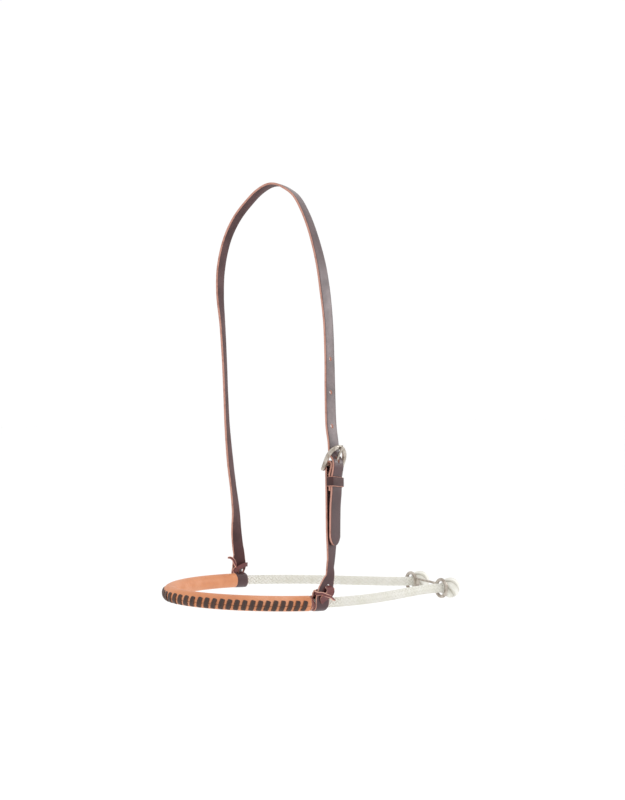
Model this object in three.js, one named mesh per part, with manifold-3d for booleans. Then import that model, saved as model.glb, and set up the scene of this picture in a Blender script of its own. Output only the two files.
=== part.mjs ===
// A bitless hackamore: a stiff rope noseband with a laced leather nose cover, hung from a narrow
// leather headstall that buckles on the near (left) side of the horse.
//
// Units are millimetres. X runs from the nose (-X) to the jaw (+X), +Y is the horse's off side and
// +Z is up. The pieces are placed in noseband coordinates, with their origin midway between the two
// ties at the rope's height. The outer group then puts the underside of the crown at the origin.

import * as THREE from 'three';
import { mergeVertices } from 'three/addons/utils/BufferGeometryUtils.js';
import Module from 'manifold-3d';

const wasm = await Module();
wasm.setup();

// ---- Driving dimensions ----
const GAP = 0.3; // clearance that touching pieces keep

const CROWN_HEIGHT = 400; // rope centre to the underside of the crown
const CROWN_SETBACK = 5.3; // the crown lies this far ahead of the ties
const CROWN_TURN = 35; // degrees that the hanging crown is turned from square
const NOSEBAND_DROOP = 2.5; // degrees that the jaw end hangs low

const STRAP_WIDTH = 15.9;
const STRAP_THICKNESS = 2.0;
const HOLE_RADIUS = 2.1;

const WRAP_WIDTH = 13.4; // of the cheeks' ends, turned round the rope
const WRAP_SHIFT = 1.4; // their middle lies this far ahead of the ties

const ROPE_RADIUS = 4.8;
const ROPE_END = 182; // ties to the rope's ends, along X
const TIE_HALF_WIDTH = 81; // half the distance between the ties
const NOSE_LENGTH = 113; // ties to the front of the nose
const NOSE_FULLNESS = 1.84; // exponent of the nose's superellipse

const COVER_OUTER_RADIUS = 7.2;
const COVER_SEAM = 1.5; // width of the seam's gap, on the outside of the curve
const LACE_BARS = 40;
const LACE_BAR_WIDTH = 4.3;
const LACE_BAR_THICKNESS = 0.8;
const BINDING_LENGTH = 4.2;

const BAR_RADIUS = 1.8; // the buckle's heel bar
const FRAME_RADIUS = 15.8; // outside of the buckle's arch
const FRAME_RISE = 4.5; // heel bar to the arch's centre
const FRAME_FOOT = 5; // the legs reach this far past the heel bar
const FRAME_RIM = 4.8; // width of the arch's metal
const FRAME_THICKNESS = 3.2;
const FRAME_TILT = 24; // degrees that the arch leans out
const KEEPER_THICKNESS = 1.3;
const KEEPER_TOP = -11.2; // along the cheek strap, from the heel bar
const KEEPER_HEIGHT = 9.4;

const EYE_RADIUS = 10.5; // outside of the connector's eyes
const EYE_HOLE_RADIUS = 7;
const EYE_SPACING = 55;
const EYE_STATION = 178; // ties to the connector, along X
const CONNECTOR_THICKNESS = 3.4;
const KNOT_RADIUS = 10.4;
const KNOT_STATION = 189.5;

// ---- Materials ----
const finish = (color, roughness, metalness = 0) =>
  new THREE.MeshStandardMaterial({ color, roughness, metalness });
const latigo = finish(0x4a2428, 0.5);
const coverLeather = finish(0xe0a070, 0.65);
const blackLace = finish(0x2a1a14, 0.55);
const pinkLace = finish(0xb0685c, 0.6);
const ropeFibre = finish(0xe9e7dc, 0.8);
const nickel = finish(0xb5aea4, 0.3, 1);
const thread = finish(0xd8c8a8, 0.7);

// ---- Helpers ----
const vec = (x, y, z) => new THREE.Vector3(x, y, z);
const radians = THREE.MathUtils.degToRad;
const heading = (degrees) => vec(Math.cos(radians(degrees)), Math.sin(radians(degrees)), 0);

function toSolid(geometry) {
  const bare = geometry.index ? geometry.clone() : geometry;
  bare.deleteAttribute('normal');
  bare.deleteAttribute('uv');
  const merged = mergeVertices(bare, 1e-4);
  return new wasm.Manifold(
    new wasm.Mesh({
      numProp: 3,
      vertProperties: new Float32Array(merged.attributes.position.array),
      triVerts: new Uint32Array(merged.index.array),
    }),
  );
}

function toGeometry(solid) {
  const mesh = solid.getMesh();
  const geometry = new THREE.BufferGeometry();
  geometry.setAttribute('position', new THREE.BufferAttribute(mesh.vertProperties, 3));
  geometry.setIndex(new THREE.BufferAttribute(mesh.triVerts, 1));
  geometry.computeVertexNormals();
  return geometry;
}

const cut = (geometry, ...tools) =>
  toGeometry(tools.reduce((body, tool) => body.subtract(toSolid(tool)), toSolid(geometry)));

const join = (geometry, ...others) =>
  toGeometry(others.reduce((body, other) => body.add(toSolid(other)), toSolid(geometry)));

function named(name, geometry, material) {
  const mesh = new THREE.Mesh(geometry, material);
  mesh.name = name;
  return mesh;
}

/** A cylinder of the given radius from one point to another. */
function rod(from, to, radius, sides = 12) {
  const span = to.clone().sub(from);
  const geometry = new THREE.CylinderGeometry(radius, radius, span.length(), sides);
  const turn = new THREE.Quaternion().setFromUnitVectors(vec(0, 1, 0), span.clone().normalize());
  geometry.applyQuaternion(turn);
  const middle = from.clone().lerp(to, 0.5);
  return geometry.translate(middle.x, middle.y, middle.z);
}

/**
 * A flat strip of leather, lace or wire: a box bent along a curve through its stations. Each
 * station is [point, width, direction across the strip].
 */
function strip(stations, thickness, stepsPerStation = 3) {
  const route = new THREE.CatmullRomCurve3(stations.map(([point]) => point), false, 'centripetal');
  const spans = stations.length - 1;
  const geometry = new THREE.BoxGeometry(1, 1, 1, 1, 1, spans * stepsPerStation);
  const corners = geometry.attributes.position;
  for (let i = 0; i < corners.count; i += 1) {
    const t = THREE.MathUtils.clamp(corners.getZ(i) + 0.5, 0, 1);
    const index = Math.min(Math.floor(t * spans + 1e-6), spans - 1);
    const part = t * spans - index;
    const [, widthA, acrossA] = stations[index];
    const [, widthB, acrossB] = stations[index + 1];
    const along = route.getTangent(t);
    const across = acrossA.clone().lerp(acrossB, part);
    across.addScaledVector(along, -across.dot(along)).normalize();
    const through = along.clone().cross(across);
    const point = route.getPoint(t);
    point.addScaledVector(across, corners.getX(i) * THREE.MathUtils.lerp(widthA, widthB, part));
    point.addScaledVector(through, corners.getY(i) * thickness);
    corners.setXYZ(i, point.x, point.y, point.z);
  }
  geometry.computeVertexNormals();
  return geometry;
}

// ---- The rope's route ----
// The nose is half a superellipse and each side runs back from its tie through these points.
const SIDE_ROUTE = [
  [14, 80.5], [30, 78.5], [48, 74.8], [66, 69.5], [84, 62.8], [102, 55], [118, 47.2],
  [134, 40], [148, 34], [162, 29.6], [174, 27.7], [ROPE_END, EYE_SPACING / 2],
];
const NOSE_POINTS = 16;

function ropeRoute() {
  const points = SIDE_ROUTE.map(([x, y]) => vec(x, -y, 0)).reverse();
  for (let i = 0; i <= NOSE_POINTS; i += 1) {
    const angle = (Math.PI * i) / NOSE_POINTS;
    const reach = Math.pow(Math.sin(angle), 2 / NOSE_FULLNESS);
    const side = Math.sign(-Math.cos(angle)) * Math.pow(Math.abs(Math.cos(angle)), 2 / NOSE_FULLNESS);
    points.push(vec(-NOSE_LENGTH * reach, TIE_HALF_WIDTH * side, 0));
  }
  return new THREE.CatmullRomCurve3(
    points.concat(SIDE_ROUTE.map(([x, y]) => vec(x, y, 0))), false, 'centripetal');
}

const route = ropeRoute();
route.arcLengthDivisions = 1200;
const ROPE_LENGTH = route.getLength();

/** The distance along the rope from the middle of the nose to a tie. */
function tieDistance() {
  let low = 0;
  let high = 0.5;
  for (let i = 0; i < 40; i += 1) {
    const middle = (low + high) / 2;
    if (route.getPointAt(middle).x > 0) low = middle;
    else high = middle;
  }
  return (0.5 - low) * ROPE_LENGTH;
}

const TIE = tieDistance();
const BINDING_OUTER = TIE - WRAP_WIDTH / 2 - WRAP_SHIFT - 1;
const COVER_END = BINDING_OUTER - BINDING_LENGTH - GAP;

/** A point at a distance along the rope from the nose's middle, moved outwards and upwards. */
function onRope(distance, out = 0, up = 0) {
  const at = THREE.MathUtils.clamp(0.5 + distance / ROPE_LENGTH, 0, 1);
  const along = route.getTangentAt(at);
  const outwards = vec(0, 0, 1).cross(along);
  return route.getPointAt(at).addScaledVector(outwards, out).add(vec(0, 0, up));
}

/** A section, drawn with x outwards and y up, swept along the rope from one distance to another. */
function sweep(section, from, to, steps, curveSegments = 10) {
  const geometry = new THREE.ExtrudeGeometry(section, { depth: 1, steps, bevelEnabled: false, curveSegments });
  const corners = geometry.attributes.position;
  for (let i = 0; i < corners.count; i += 1) {
    const distance = THREE.MathUtils.lerp(from, to, corners.getZ(i));
    const point = onRope(distance, corners.getX(i), corners.getY(i));
    corners.setXYZ(i, point.x, point.y, point.z);
  }
  geometry.computeVertexNormals();
  return geometry;
}

function disc(radius) {
  return new THREE.Shape().absarc(0, 0, radius, 0, 2 * Math.PI);
}

function ring(outer, inner) {
  const shape = disc(outer);
  shape.holes.push(new THREE.Path().absarc(0, 0, inner, 0, 2 * Math.PI, true));
  return shape;
}

/** A ring with a gap on its outer side. */
function splitRing(outer, inner, gap) {
  const outerHalf = Math.asin(gap / 2 / outer);
  const innerHalf = Math.asin(gap / 2 / inner);
  const shape = new THREE.Shape().absarc(0, 0, outer, outerHalf, 2 * Math.PI - outerHalf);
  shape.absarc(0, 0, inner, 2 * Math.PI - innerHalf, innerHalf, true);
  shape.closePath();
  return shape;
}

// ---- Noseband pieces ----
const COVER_INNER_RADIUS = ROPE_RADIUS + 1.5 * GAP;

function makeRope() {
  return sweep(disc(ROPE_RADIUS), -ROPE_LENGTH / 2, ROPE_LENGTH / 2, 72, 5);
}

function makeCover() {
  const section = splitRing(COVER_OUTER_RADIUS, COVER_INNER_RADIUS, COVER_SEAM);
  return sweep(section, -COVER_END, BINDING_OUTER, 40, 6);
}

/** The lace: bars across the seam, joined by the run of lace that lies in the seam. */
function makeLacing() {
  const inner = COVER_OUTER_RADIUS + 2 * GAP;
  const outer = inner + LACE_BAR_THICKNESS;
  const reach = radians(52);
  const slant = 2.4;
  const pitch = (2 * COVER_END - 6) / LACE_BARS;
  const runHalf = COVER_SEAM / 2 - GAP;
  const run = new THREE.Shape();
  run.moveTo(COVER_INNER_RADIUS + GAP, -runHalf);
  run.lineTo(inner + LACE_BAR_THICKNESS / 2, -runHalf);
  run.lineTo(inner + LACE_BAR_THICKNESS / 2, runHalf);
  run.lineTo(COVER_INNER_RADIUS + GAP, runHalf);
  const bars = [];
  for (let i = 0; i < LACE_BARS; i += 1) {
    const centre = (i + 0.5 - LACE_BARS / 2) * pitch;
    const bar = new THREE.BoxGeometry(1, 1, LACE_BAR_WIDTH, 3, 1, 1);
    const corners = bar.attributes.position;
    for (let c = 0; c < corners.count; c += 1) {
      const angle = -corners.getX(c) * 2 * reach;
      const radius = THREE.MathUtils.lerp(inner, outer, corners.getY(c) + 0.5);
      const distance = centre + corners.getZ(c) + slant * corners.getX(c);
      const point = onRope(distance, radius * Math.cos(angle), radius * Math.sin(angle));
      corners.setXYZ(c, point.x, point.y, point.z);
    }
    bars.push(bar);
  }
  return join(sweep(run, -(LACE_BARS * pitch) / 2, (LACE_BARS * pitch) / 2, 60, 1), ...bars);
}

/** The lace turns at the cover's near end. */
function makeBinding() {
  const section = ring(COVER_OUTER_RADIUS - 0.4, COVER_INNER_RADIUS);
  return sweep(section, -BINDING_OUTER, BINDING_LENGTH - BINDING_OUTER, 1, 7);
}

const WRAP_RADIUS = ROPE_RADIUS + 2 * GAP + STRAP_THICKNESS / 2; // the strap's mid-line round the rope
const NECK_HEIGHT = 29; // the strap bends here as the noseband swings
const TIE_HOLE_HEIGHT = 16.4;
const LACE_HEIGHT = 9.6;
const LACE_HOLE_HALF_SPACING = 3.2;

/**
 * The end of a cheek, turned under the rope and up again inside, with both flaps pierced. Its neck
 * has a width, and lies back from the tie.
 */
function makeWrap(side, neckWidth, neckBack) {
  const outer = TIE_HALF_WIDTH + WRAP_RADIUS;
  const inner = outer - STRAP_THICKNESS - GAP;
  const across = vec(1, 0, 0);
  const place = (x, y, z) => vec(x, side * y, z);
  const stations = [
    [place(neckBack, outer + 0.6, NECK_HEIGHT - 0.9), neckWidth * 0.6, across],
    [place(neckBack, outer + 0.55, NECK_HEIGHT - 0.9 - neckWidth / 5), neckWidth, across],
    [place(neckBack * 0.65, outer + 0.3, 21), (neckWidth + STRAP_WIDTH) / 2, across],
    [place(neckBack * 0.2, outer, 14), STRAP_WIDTH, across],
    [place(-WRAP_SHIFT, outer, 6), WRAP_WIDTH + 0.8, across],
  ];
  for (let angle = 0; angle >= -240; angle -= 30) {
    const turn = radians(angle);
    stations.push([
      place(-WRAP_SHIFT, TIE_HALF_WIDTH + WRAP_RADIUS * Math.cos(turn), WRAP_RADIUS * Math.sin(turn)),
      WRAP_WIDTH, across,
    ]);
  }
  stations.push([place(-WRAP_SHIFT, inner - 1.2, 7.4), WRAP_WIDTH, across]);
  stations.push([place(-WRAP_SHIFT, inner - 0.1, 10.4), WRAP_WIDTH, across]);
  stations.push([place(-WRAP_SHIFT, inner, 13.2), WRAP_WIDTH - 4, across]);
  const hole = (x, z, radius) => rod(place(x, inner - 8, z), place(x, outer + 8, z), radius, 10);
  const holes = [-1, 1].map((end) => hole(end * LACE_HOLE_HALF_SPACING, LACE_HEIGHT, 2.2));
  if (side < 0) holes.push(hole(2.4, TIE_HOLE_HEIGHT, 1.9));
  return cut(strip(stations, STRAP_THICKNESS, 2), ...holes);
}

/** A lace through both flaps, with its two ends on the outside. */
function makeTieLace(side, tails) {
  const outer = TIE_HALF_WIDTH + WRAP_RADIUS;
  const front = outer + STRAP_THICKNESS / 2 + GAP + 0.8;
  const back = outer - 1.5 * STRAP_THICKNESS - GAP * 2 - 1.1;
  const across = vec(0, 0, 1);
  const width = 2.4;
  const place = (x, y, z) => [vec(x, side * y, z), width, across];
  const half = LACE_HOLE_HALF_SPACING;
  const stations = [
    ...tails.front.map(([x, z, lift]) => place(x, front + lift, z)),
    place(-half - 2.2, front, LACE_HEIGHT + 0.3),
    place(-half, outer, LACE_HEIGHT),
    place(-half, outer - STRAP_THICKNESS, LACE_HEIGHT),
    place(-half + 1.2, back, LACE_HEIGHT),
    place(half - 1.2, back, LACE_HEIGHT),
    place(half, outer - STRAP_THICKNESS, LACE_HEIGHT),
    place(half, outer, LACE_HEIGHT),
    place(half + 2.2, front, LACE_HEIGHT - 0.3),
    ...tails.rear.map(([x, z, lift]) => place(x, front + lift, z)),
  ];
  return strip(stations, 1.1, 2);
}

/** A crown knot: a rounded ball on the rope's end. */
function makeKnot() {
  const start = ROPE_END + 2 * GAP - KNOT_STATION;
  const profile = [[0, start], [3.2, start]];
  for (let angle = 145; angle >= 0; angle -= 145 / 8) {
    const turn = radians(angle);
    profile.push([KNOT_RADIUS * Math.sin(turn), KNOT_RADIUS * 0.86 * Math.cos(turn)]);
  }
  const points = profile.map(([radius, y]) => new THREE.Vector2(Math.max(radius, 0), y));
  points[points.length - 1].x = 0;
  return new THREE.LatheGeometry(points, 16).rotateZ(-Math.PI / 2);
}

/** The connector: two round eyes and the slotted bar between them, all in one casting. */
function makeConnector() {
  const half = EYE_SPACING / 2;
  const depth = CONNECTOR_THICKNESS;
  const plate = (shape, segments) =>
    new THREE.ExtrudeGeometry(shape, { depth, bevelEnabled: false, curveSegments: segments });
  const eye = (y) => plate(disc(EYE_RADIUS), 10).translate(y, 0, 0);
  const hole = (y) => rod(vec(y, 0, -depth), vec(y, 0, 2 * depth), EYE_HOLE_RADIUS, 20);
  const bar = new THREE.Shape();
  bar.moveTo(-half, -5.5);
  bar.lineTo(half, -5.5);
  bar.lineTo(half, 5);
  bar.lineTo(-half, 5);
  const slot = new THREE.BoxGeometry(27, 5.2, 4 * depth).translate(0, 0.2, 0);
  const casting = cut(join(plate(bar, 1), eye(-half), eye(half)), hole(-half), hole(half), slot);
  casting.translate(0, 0, -depth / 2);
  const stand = new THREE.Matrix4().makeBasis(vec(0, 1, 0), vec(0, 0, 1), vec(1, 0, 0));
  return casting.applyMatrix4(stand);
}

// ---- Headstall ----
// The near cheek is straight from the heel bar down, and has a frame of its own: across the strap
// (towards the back), out from the horse, and up along the strap.
const CHEEK_TOP = vec(14.9, -74.45, 128);
const CHEEK_FOOT = vec(9.8, -84.5, 60);
const CHEEK_HEADING = 23;
const LAYER = STRAP_THICKNESS + GAP;
const FOLD_RADIUS = BAR_RADIUS + GAP + STRAP_THICKNESS / 2;

const cheekUp = CHEEK_TOP.clone().sub(CHEEK_FOOT).normalize();
const cheekAcross = heading(CHEEK_HEADING);
cheekAcross.addScaledVector(cheekUp, -cheekAcross.dot(cheekUp)).normalize();
const cheekOut = cheekAcross.clone().cross(cheekUp);
const heelBar = CHEEK_TOP.clone().addScaledVector(cheekOut, FOLD_RADIUS);

/** A point in the cheek's frame, measured from the heel bar's middle. */
function onCheek(across, out, up) {
  return heelBar.clone()
    .addScaledVector(cheekAcross, across)
    .addScaledVector(cheekOut, out)
    .addScaledVector(cheekUp, up);
}

const cheekStation = (out, up, width = STRAP_WIDTH) => [onCheek(0, out, up), width, cheekAcross];
const strapStation = (x, y, z, turn, width = STRAP_WIDTH) => [vec(x, y, z), width, heading(turn)];


// The cheek strap's long leg is the innermost layer. The keeper's back, the strap's folded end and
// the billet lie over it in turn.
const KEEPER_BACK_OUT = -FOLD_RADIUS + STRAP_THICKNESS / 2 + GAP + KEEPER_THICKNESS / 2;
const SHORT_OUT = -FOLD_RADIUS + STRAP_THICKNESS + KEEPER_THICKNESS + 2 * GAP;
const BILLET_OUT = SHORT_OUT + LAYER;
const TONGUE_HOLE_OUT = 4.6;
const TONGUE_HOLE_UP = 4.8;

// The spare holes, as stations of the crown strap: x, y, z and the strap's turn there.
const SPARE_HOLES = [[18.9, -68.6, 165, 23], [22.4, -60.8, 197, 24], [24.95, -55.6, 229, 27]];

function makeCrownStrap() {
  const archStation = (reach, drop) => {
    const middle = vec(-CROWN_SETBACK, 0, CROWN_HEIGHT + STRAP_THICKNESS / 2 - drop);
    return [middle.addScaledVector(heading(CROWN_TURN - 90), reach), STRAP_WIDTH, heading(CROWN_TURN)];
  };
  const stations = [
    cheekStation(0.4, -75, 3),
    cheekStation(0.45, -74, 7.5),
    cheekStation(0.6, -71.5, 12.5),
    cheekStation(0.8, -67.5),
    cheekStation(1.1, -54),
    cheekStation(1.7, -38),
    cheekStation(BILLET_OUT, -24),
    cheekStation(BILLET_OUT, -13.5),
    cheekStation(BILLET_OUT + 0.4, -10.9),
    cheekStation(4.1, -9.1),
    cheekStation(4.4, -7.3),
    cheekStation(4.9, -5.2),
    cheekStation(5.4, -2.6),
    cheekStation(5.5, 0),
    cheekStation(5.3, 2.6),
    cheekStation(4.2, 5.4),
    cheekStation(2.4, 8),
    cheekStation(1.1, 10.4),
    cheekStation(0.6, 13),
    cheekStation(0.4, 16.5),
    cheekStation(0, 22),
    ...SPARE_HOLES.map((station) => strapStation(...station)),
    strapStation(26.1, -51, 265, 27),
    strapStation(24.2, -48.2, 295, 23),
    strapStation(21.4, -44.8, 322, 26),
    strapStation(16.9, -38.5, 350, 31),
    strapStation(13.1, -30.6, 370.5, 33),
    archStation(24.4, 12.9),
    archStation(15.4, 5.6),
    archStation(4.5, 0.45),
    archStation(-4.5, 0.45),
    archStation(-15.4, 5.6),
    archStation(-24.4, 12.9),
    strapStation(-29.8, 30.6, 370.5, 36),
    strapStation(-37, 38.5, 350, 38),
    strapStation(-41, 44.8, 322, 37),
    strapStation(-40.5, 48.2, 295, 40),
    strapStation(-36.6, 51, 265, 48),
    strapStation(-32.2, 55.4, 230, 51),
    strapStation(-27.8, 61.2, 195, 52),
    strapStation(-22.2, 69, 160, 50),
    strapStation(-14.6, 77.6, 124, 45),
    strapStation(-8.6, 82.3, 96, 45),
    strapStation(-4.2, 85.4, 72, 38),
    strapStation(-2.4, 87.6, 50, 25),
    strapStation(-0.6, 88, NECK_HEIGHT + 5, 14, STRAP_WIDTH - 0.8),
    strapStation(-0.5, 88, NECK_HEIGHT + 1.7, 12, STRAP_WIDTH - 8),
  ];
  const throughHole = (centre, out, radius) =>
    rod(centre.clone().addScaledVector(out, -9), centre.clone().addScaledVector(out, 9), radius, 10);
  const tongueWay = (degrees) => {
    const centre = onCheek(0, 0, 0);
    const turn = new THREE.Matrix4().makeRotationAxis(cheekAcross, radians(degrees));
    const spot = onCheek(0, TONGUE_HOLE_OUT, TONGUE_HOLE_UP).sub(centre).applyMatrix4(turn).add(centre);
    const way = onCheek(0, 1, 2).sub(centre).applyMatrix4(turn).normalize();
    return rod(spot.clone().addScaledVector(way, -4), spot.clone().addScaledVector(way, 4), 2.1, 10);
  };
  const punched = SPARE_HOLES.map(([x, y, z, turn]) =>
    throughHole(vec(x, y, z), heading(turn - 90), HOLE_RADIUS));
  return cut(strip(stations, STRAP_THICKNESS), tongueWay(0), tongueWay(8), tongueWay(16), ...punched);
}

function makeCheekStrap() {
  const stations = [
    strapStation(5.9, -88, NECK_HEIGHT + 0.9, 12, 6),
    strapStation(6.1, -88, NECK_HEIGHT + 2.6, 14, 9.4),
    strapStation(7.6, -87, 41, 20, 10.6),
    strapStation(8.9, -85.6, 51, 22, 13),
    cheekStation(-FOLD_RADIUS, -70, 15.2),
    cheekStation(-FOLD_RADIUS, -60),
    cheekStation(-FOLD_RADIUS, -40),
    cheekStation(-FOLD_RADIUS, -12),
    cheekStation(-FOLD_RADIUS, -3),
  ];
  for (let angle = 180; angle >= 0; angle -= 30) {
    const turn = radians(angle);
    stations.push(cheekStation(FOLD_RADIUS * Math.cos(turn), FOLD_RADIUS * Math.sin(turn)));
  }
  stations.push(
    cheekStation(2.8, -2.6),
    cheekStation(2.0, -5.4),
    cheekStation(1.2, -7.4),
    cheekStation(SHORT_OUT, -9.2),
    cheekStation(SHORT_OUT, -12),
    cheekStation(SHORT_OUT, -24.5),
  );
  const slot = new THREE.BoxGeometry(4.8, 16, 14);
  const axes = new THREE.Matrix4().makeBasis(cheekAcross, cheekOut.clone().negate(), cheekUp);
  slot.translate(0, -2, 1.5).applyMatrix4(axes).translate(heelBar.x, heelBar.y, heelBar.z);
  const stitchHoles = stitchStations().filter((_, i) => i % 4 === 1).map(([point]) => {
    const from = point.clone().addScaledVector(cheekOut, -7);
    return rod(from, point.clone().addScaledVector(cheekOut, 7), 0.75, 8);
  });
  return cut(strip(stations, STRAP_THICKNESS, 2), slot, ...stitchHoles);
}

const STITCHES = 4;
const STITCH_UP = -8.9;
const THREAD_SIZE = 0.6;

/** A running stitch across the fold: out, along, in, along, and so on. */
function stitchStations() {
  const outside = SHORT_OUT + STRAP_THICKNESS / 2 + GAP + THREAD_SIZE / 2;
  const inside = -FOLD_RADIUS - STRAP_THICKNESS / 2 - GAP - THREAD_SIZE / 2;
  const pitch = 3;
  const stations = [];
  for (let i = 0; i <= STITCHES; i += 1) {
    const across = (i - STITCHES / 2) * pitch;
    const [from, to] = i % 2 ? [outside, inside] : [inside, outside];
    for (const share of [0, 0.25, 0.75, 1]) {
      const out = THREE.MathUtils.lerp(from, to, share);
      stations.push([onCheek(across, out, STITCH_UP), THREAD_SIZE, cheekUp]);
    }
  }
  return stations;
}

/** The keeper: a band round the folded end and the billet, held between the fold's two legs. */
function makeKeeper() {
  const back = KEEPER_BACK_OUT;
  const front = BILLET_OUT + STRAP_THICKNESS / 2 + 0.5 + KEEPER_THICKNESS / 2;
  const side = STRAP_WIDTH / 2 + 0.5 + KEEPER_THICKNESS / 2;
  const outline = (grow) => {
    const shape = new THREE.Shape();
    const corner = grow > 0 ? 1.8 : 0.5;
    const [left, right, low, high] = [-side - grow, side + grow, -front - grow, -back + grow];
    shape.moveTo(left + corner, low);
    shape.lineTo(right - corner, low);
    shape.quadraticCurveTo(right, low, right, low + corner);
    shape.lineTo(right, high - corner);
    shape.quadraticCurveTo(right, high, right - corner, high);
    shape.lineTo(left + corner, high);
    shape.quadraticCurveTo(left, high, left, high - corner);
    shape.lineTo(left, low + corner);
    shape.quadraticCurveTo(left, low, left + corner, low);
    return shape;
  };
  const shape = outline(KEEPER_THICKNESS / 2);
  shape.holes.push(outline(-KEEPER_THICKNESS / 2));
  const loop = new THREE.ExtrudeGeometry(shape, { depth: KEEPER_HEIGHT, bevelEnabled: false, curveSegments: 3 });
  return loop.translate(0, 0, KEEPER_TOP - KEEPER_HEIGHT);
}

/** The buckle's frame: a horseshoe arch on its heel bar. */
function makeFrame() {
  const middle = FRAME_RADIUS - FRAME_RIM / 2;
  const arch = new THREE.Shape();
  arch.moveTo(FRAME_RADIUS, -FRAME_FOOT);
  arch.absarc(0, FRAME_RISE, FRAME_RADIUS, 0, Math.PI);
  arch.lineTo(-FRAME_RADIUS, -FRAME_FOOT);
  arch.lineTo(-FRAME_RADIUS + FRAME_RIM, -FRAME_FOOT);
  arch.absarc(0, FRAME_RISE, FRAME_RADIUS - FRAME_RIM, Math.PI, 0, true);
  arch.lineTo(FRAME_RADIUS - FRAME_RIM, -FRAME_FOOT);
  const rim = new THREE.ExtrudeGeometry(arch, { depth: FRAME_THICKNESS, bevelEnabled: false, curveSegments: 16 });
  rim.translate(0, 0, -FRAME_THICKNESS / 2).rotateX(Math.PI / 2).rotateX(radians(FRAME_TILT));
  return join(rim, rod(vec(-middle, 0, 0), vec(middle, 0, 0), BAR_RADIUS, 12));
}

/** The tongue: a loop on the heel bar and a pin that lies over the arch. */
function makeTongue() {
  const loopOuter = FOLD_RADIUS + STRAP_THICKNESS / 2 - 0.2;
  const width = 3.2;
  const across = vec(1, 0, 0);
  const loop = new THREE.ExtrudeGeometry(ring(loopOuter, BAR_RADIUS + 0.3), {
    depth: width, bevelEnabled: false, curveSegments: 8,
  });
  loop.translate(0, 0, -width / 2).rotateY(Math.PI / 2);
  const pin = strip([
    [vec(0, -2.6, 1.6), width, across],
    [vec(0, -3.7, 3.3), 2.9, across],
    [vec(0, -4.8, 5.2), 2.6, across],
    [vec(0, -6.6, 8.8), 2.5, across],
    [vec(0, -8.8, 12.9), 2.4, across],
    [vec(0, -10.5, 16.4), 2.2, across],
    [vec(0, -11, 17.7), 1.6, across],
  ], 1.7, 2);
  return join(loop, pin);
}

// ---- Assembly ----
const hackamore = new THREE.Group();
hackamore.position.set(CROWN_SETBACK, 0, -CROWN_HEIGHT);

const headstall = new THREE.Group();
headstall.add(
  named('crown_strap', makeCrownStrap(), latigo),
  named('cheek_strap', makeCheekStrap(), latigo),
  named('chape_stitching', strip(stitchStations(), THREAD_SIZE, 1), thread),
);

const buckle = new THREE.Group();
buckle.add(
  named('keeper', makeKeeper(), latigo),
  named('buckle_frame', makeFrame(), nickel),
  named('buckle_tongue', makeTongue(), nickel),
);
buckle.position.copy(heelBar);
buckle.quaternion.setFromRotationMatrix(
  new THREE.Matrix4().makeBasis(cheekAcross, cheekOut.clone().negate(), cheekUp));

const noseband = new THREE.Group();
noseband.rotation.y = radians(NOSEBAND_DROOP);
noseband.add(
  named('rope', makeRope(), ropeFibre),
  named('nose_cover', makeCover(), coverLeather),
  named('cover_lacing', makeLacing(), blackLace),
  named('near_cover_binding', makeBinding(), pinkLace),
  named('near_rope_wrap', makeWrap(-1, 9.4, 5), latigo),
  named('far_rope_wrap', makeWrap(1, STRAP_WIDTH - 1, -0.6), latigo),
  named('near_tie_lace', makeTieLace(-1, {
    front: [[-9.6, 12.4, 0.4]],
    rear: [[9.6, 7.2, 0.3], [13, 4.4, 0.2]],
  }), latigo),
  named('far_tie_lace', makeTieLace(1, {
    front: [[-12.6, 20.6, 0.8], [-9.4, 16.4, 0.4], [-7.4, 12.4, 0.2]],
    rear: [[8.4, 7.6, 0.3]],
  }), latigo),
);
for (const [name, side] of [['near_end_knot', -1], ['far_end_knot', 1]]) {
  const knot = named(name, makeKnot(), ropeFibre);
  knot.position.set(KNOT_STATION, (side * EYE_SPACING) / 2, 0);
  noseband.add(knot);
}
const connector = named('connector', makeConnector(), nickel);
connector.position.x = EYE_STATION;
noseband.add(connector);

hackamore.add(headstall, buckle, noseband);

export default hackamore;
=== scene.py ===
import math
import random

import bpy
from mathutils import Matrix, Vector


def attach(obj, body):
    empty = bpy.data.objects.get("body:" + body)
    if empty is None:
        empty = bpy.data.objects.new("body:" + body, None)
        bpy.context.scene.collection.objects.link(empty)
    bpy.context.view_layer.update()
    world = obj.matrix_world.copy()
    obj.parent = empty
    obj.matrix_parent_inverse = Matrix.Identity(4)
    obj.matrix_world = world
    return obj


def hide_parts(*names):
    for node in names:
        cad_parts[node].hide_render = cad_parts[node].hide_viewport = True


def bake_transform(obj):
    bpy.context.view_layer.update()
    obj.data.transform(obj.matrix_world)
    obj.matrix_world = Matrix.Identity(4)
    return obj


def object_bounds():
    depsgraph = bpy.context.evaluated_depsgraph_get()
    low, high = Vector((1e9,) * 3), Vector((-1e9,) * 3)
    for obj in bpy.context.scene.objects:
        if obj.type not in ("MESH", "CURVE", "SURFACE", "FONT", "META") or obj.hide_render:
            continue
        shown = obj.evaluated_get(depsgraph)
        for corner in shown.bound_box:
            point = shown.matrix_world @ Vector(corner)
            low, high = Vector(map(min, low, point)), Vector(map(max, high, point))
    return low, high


# A bitless hackamore: a braided rope noseband with a laced leather nose cover, hung from a narrow
# leather headstall that buckles on the near side. Units are metres. X runs from the nose to the
# jaw, +Y is the horse's off side and +Z is up. The crown's underside is the origin.

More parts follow.
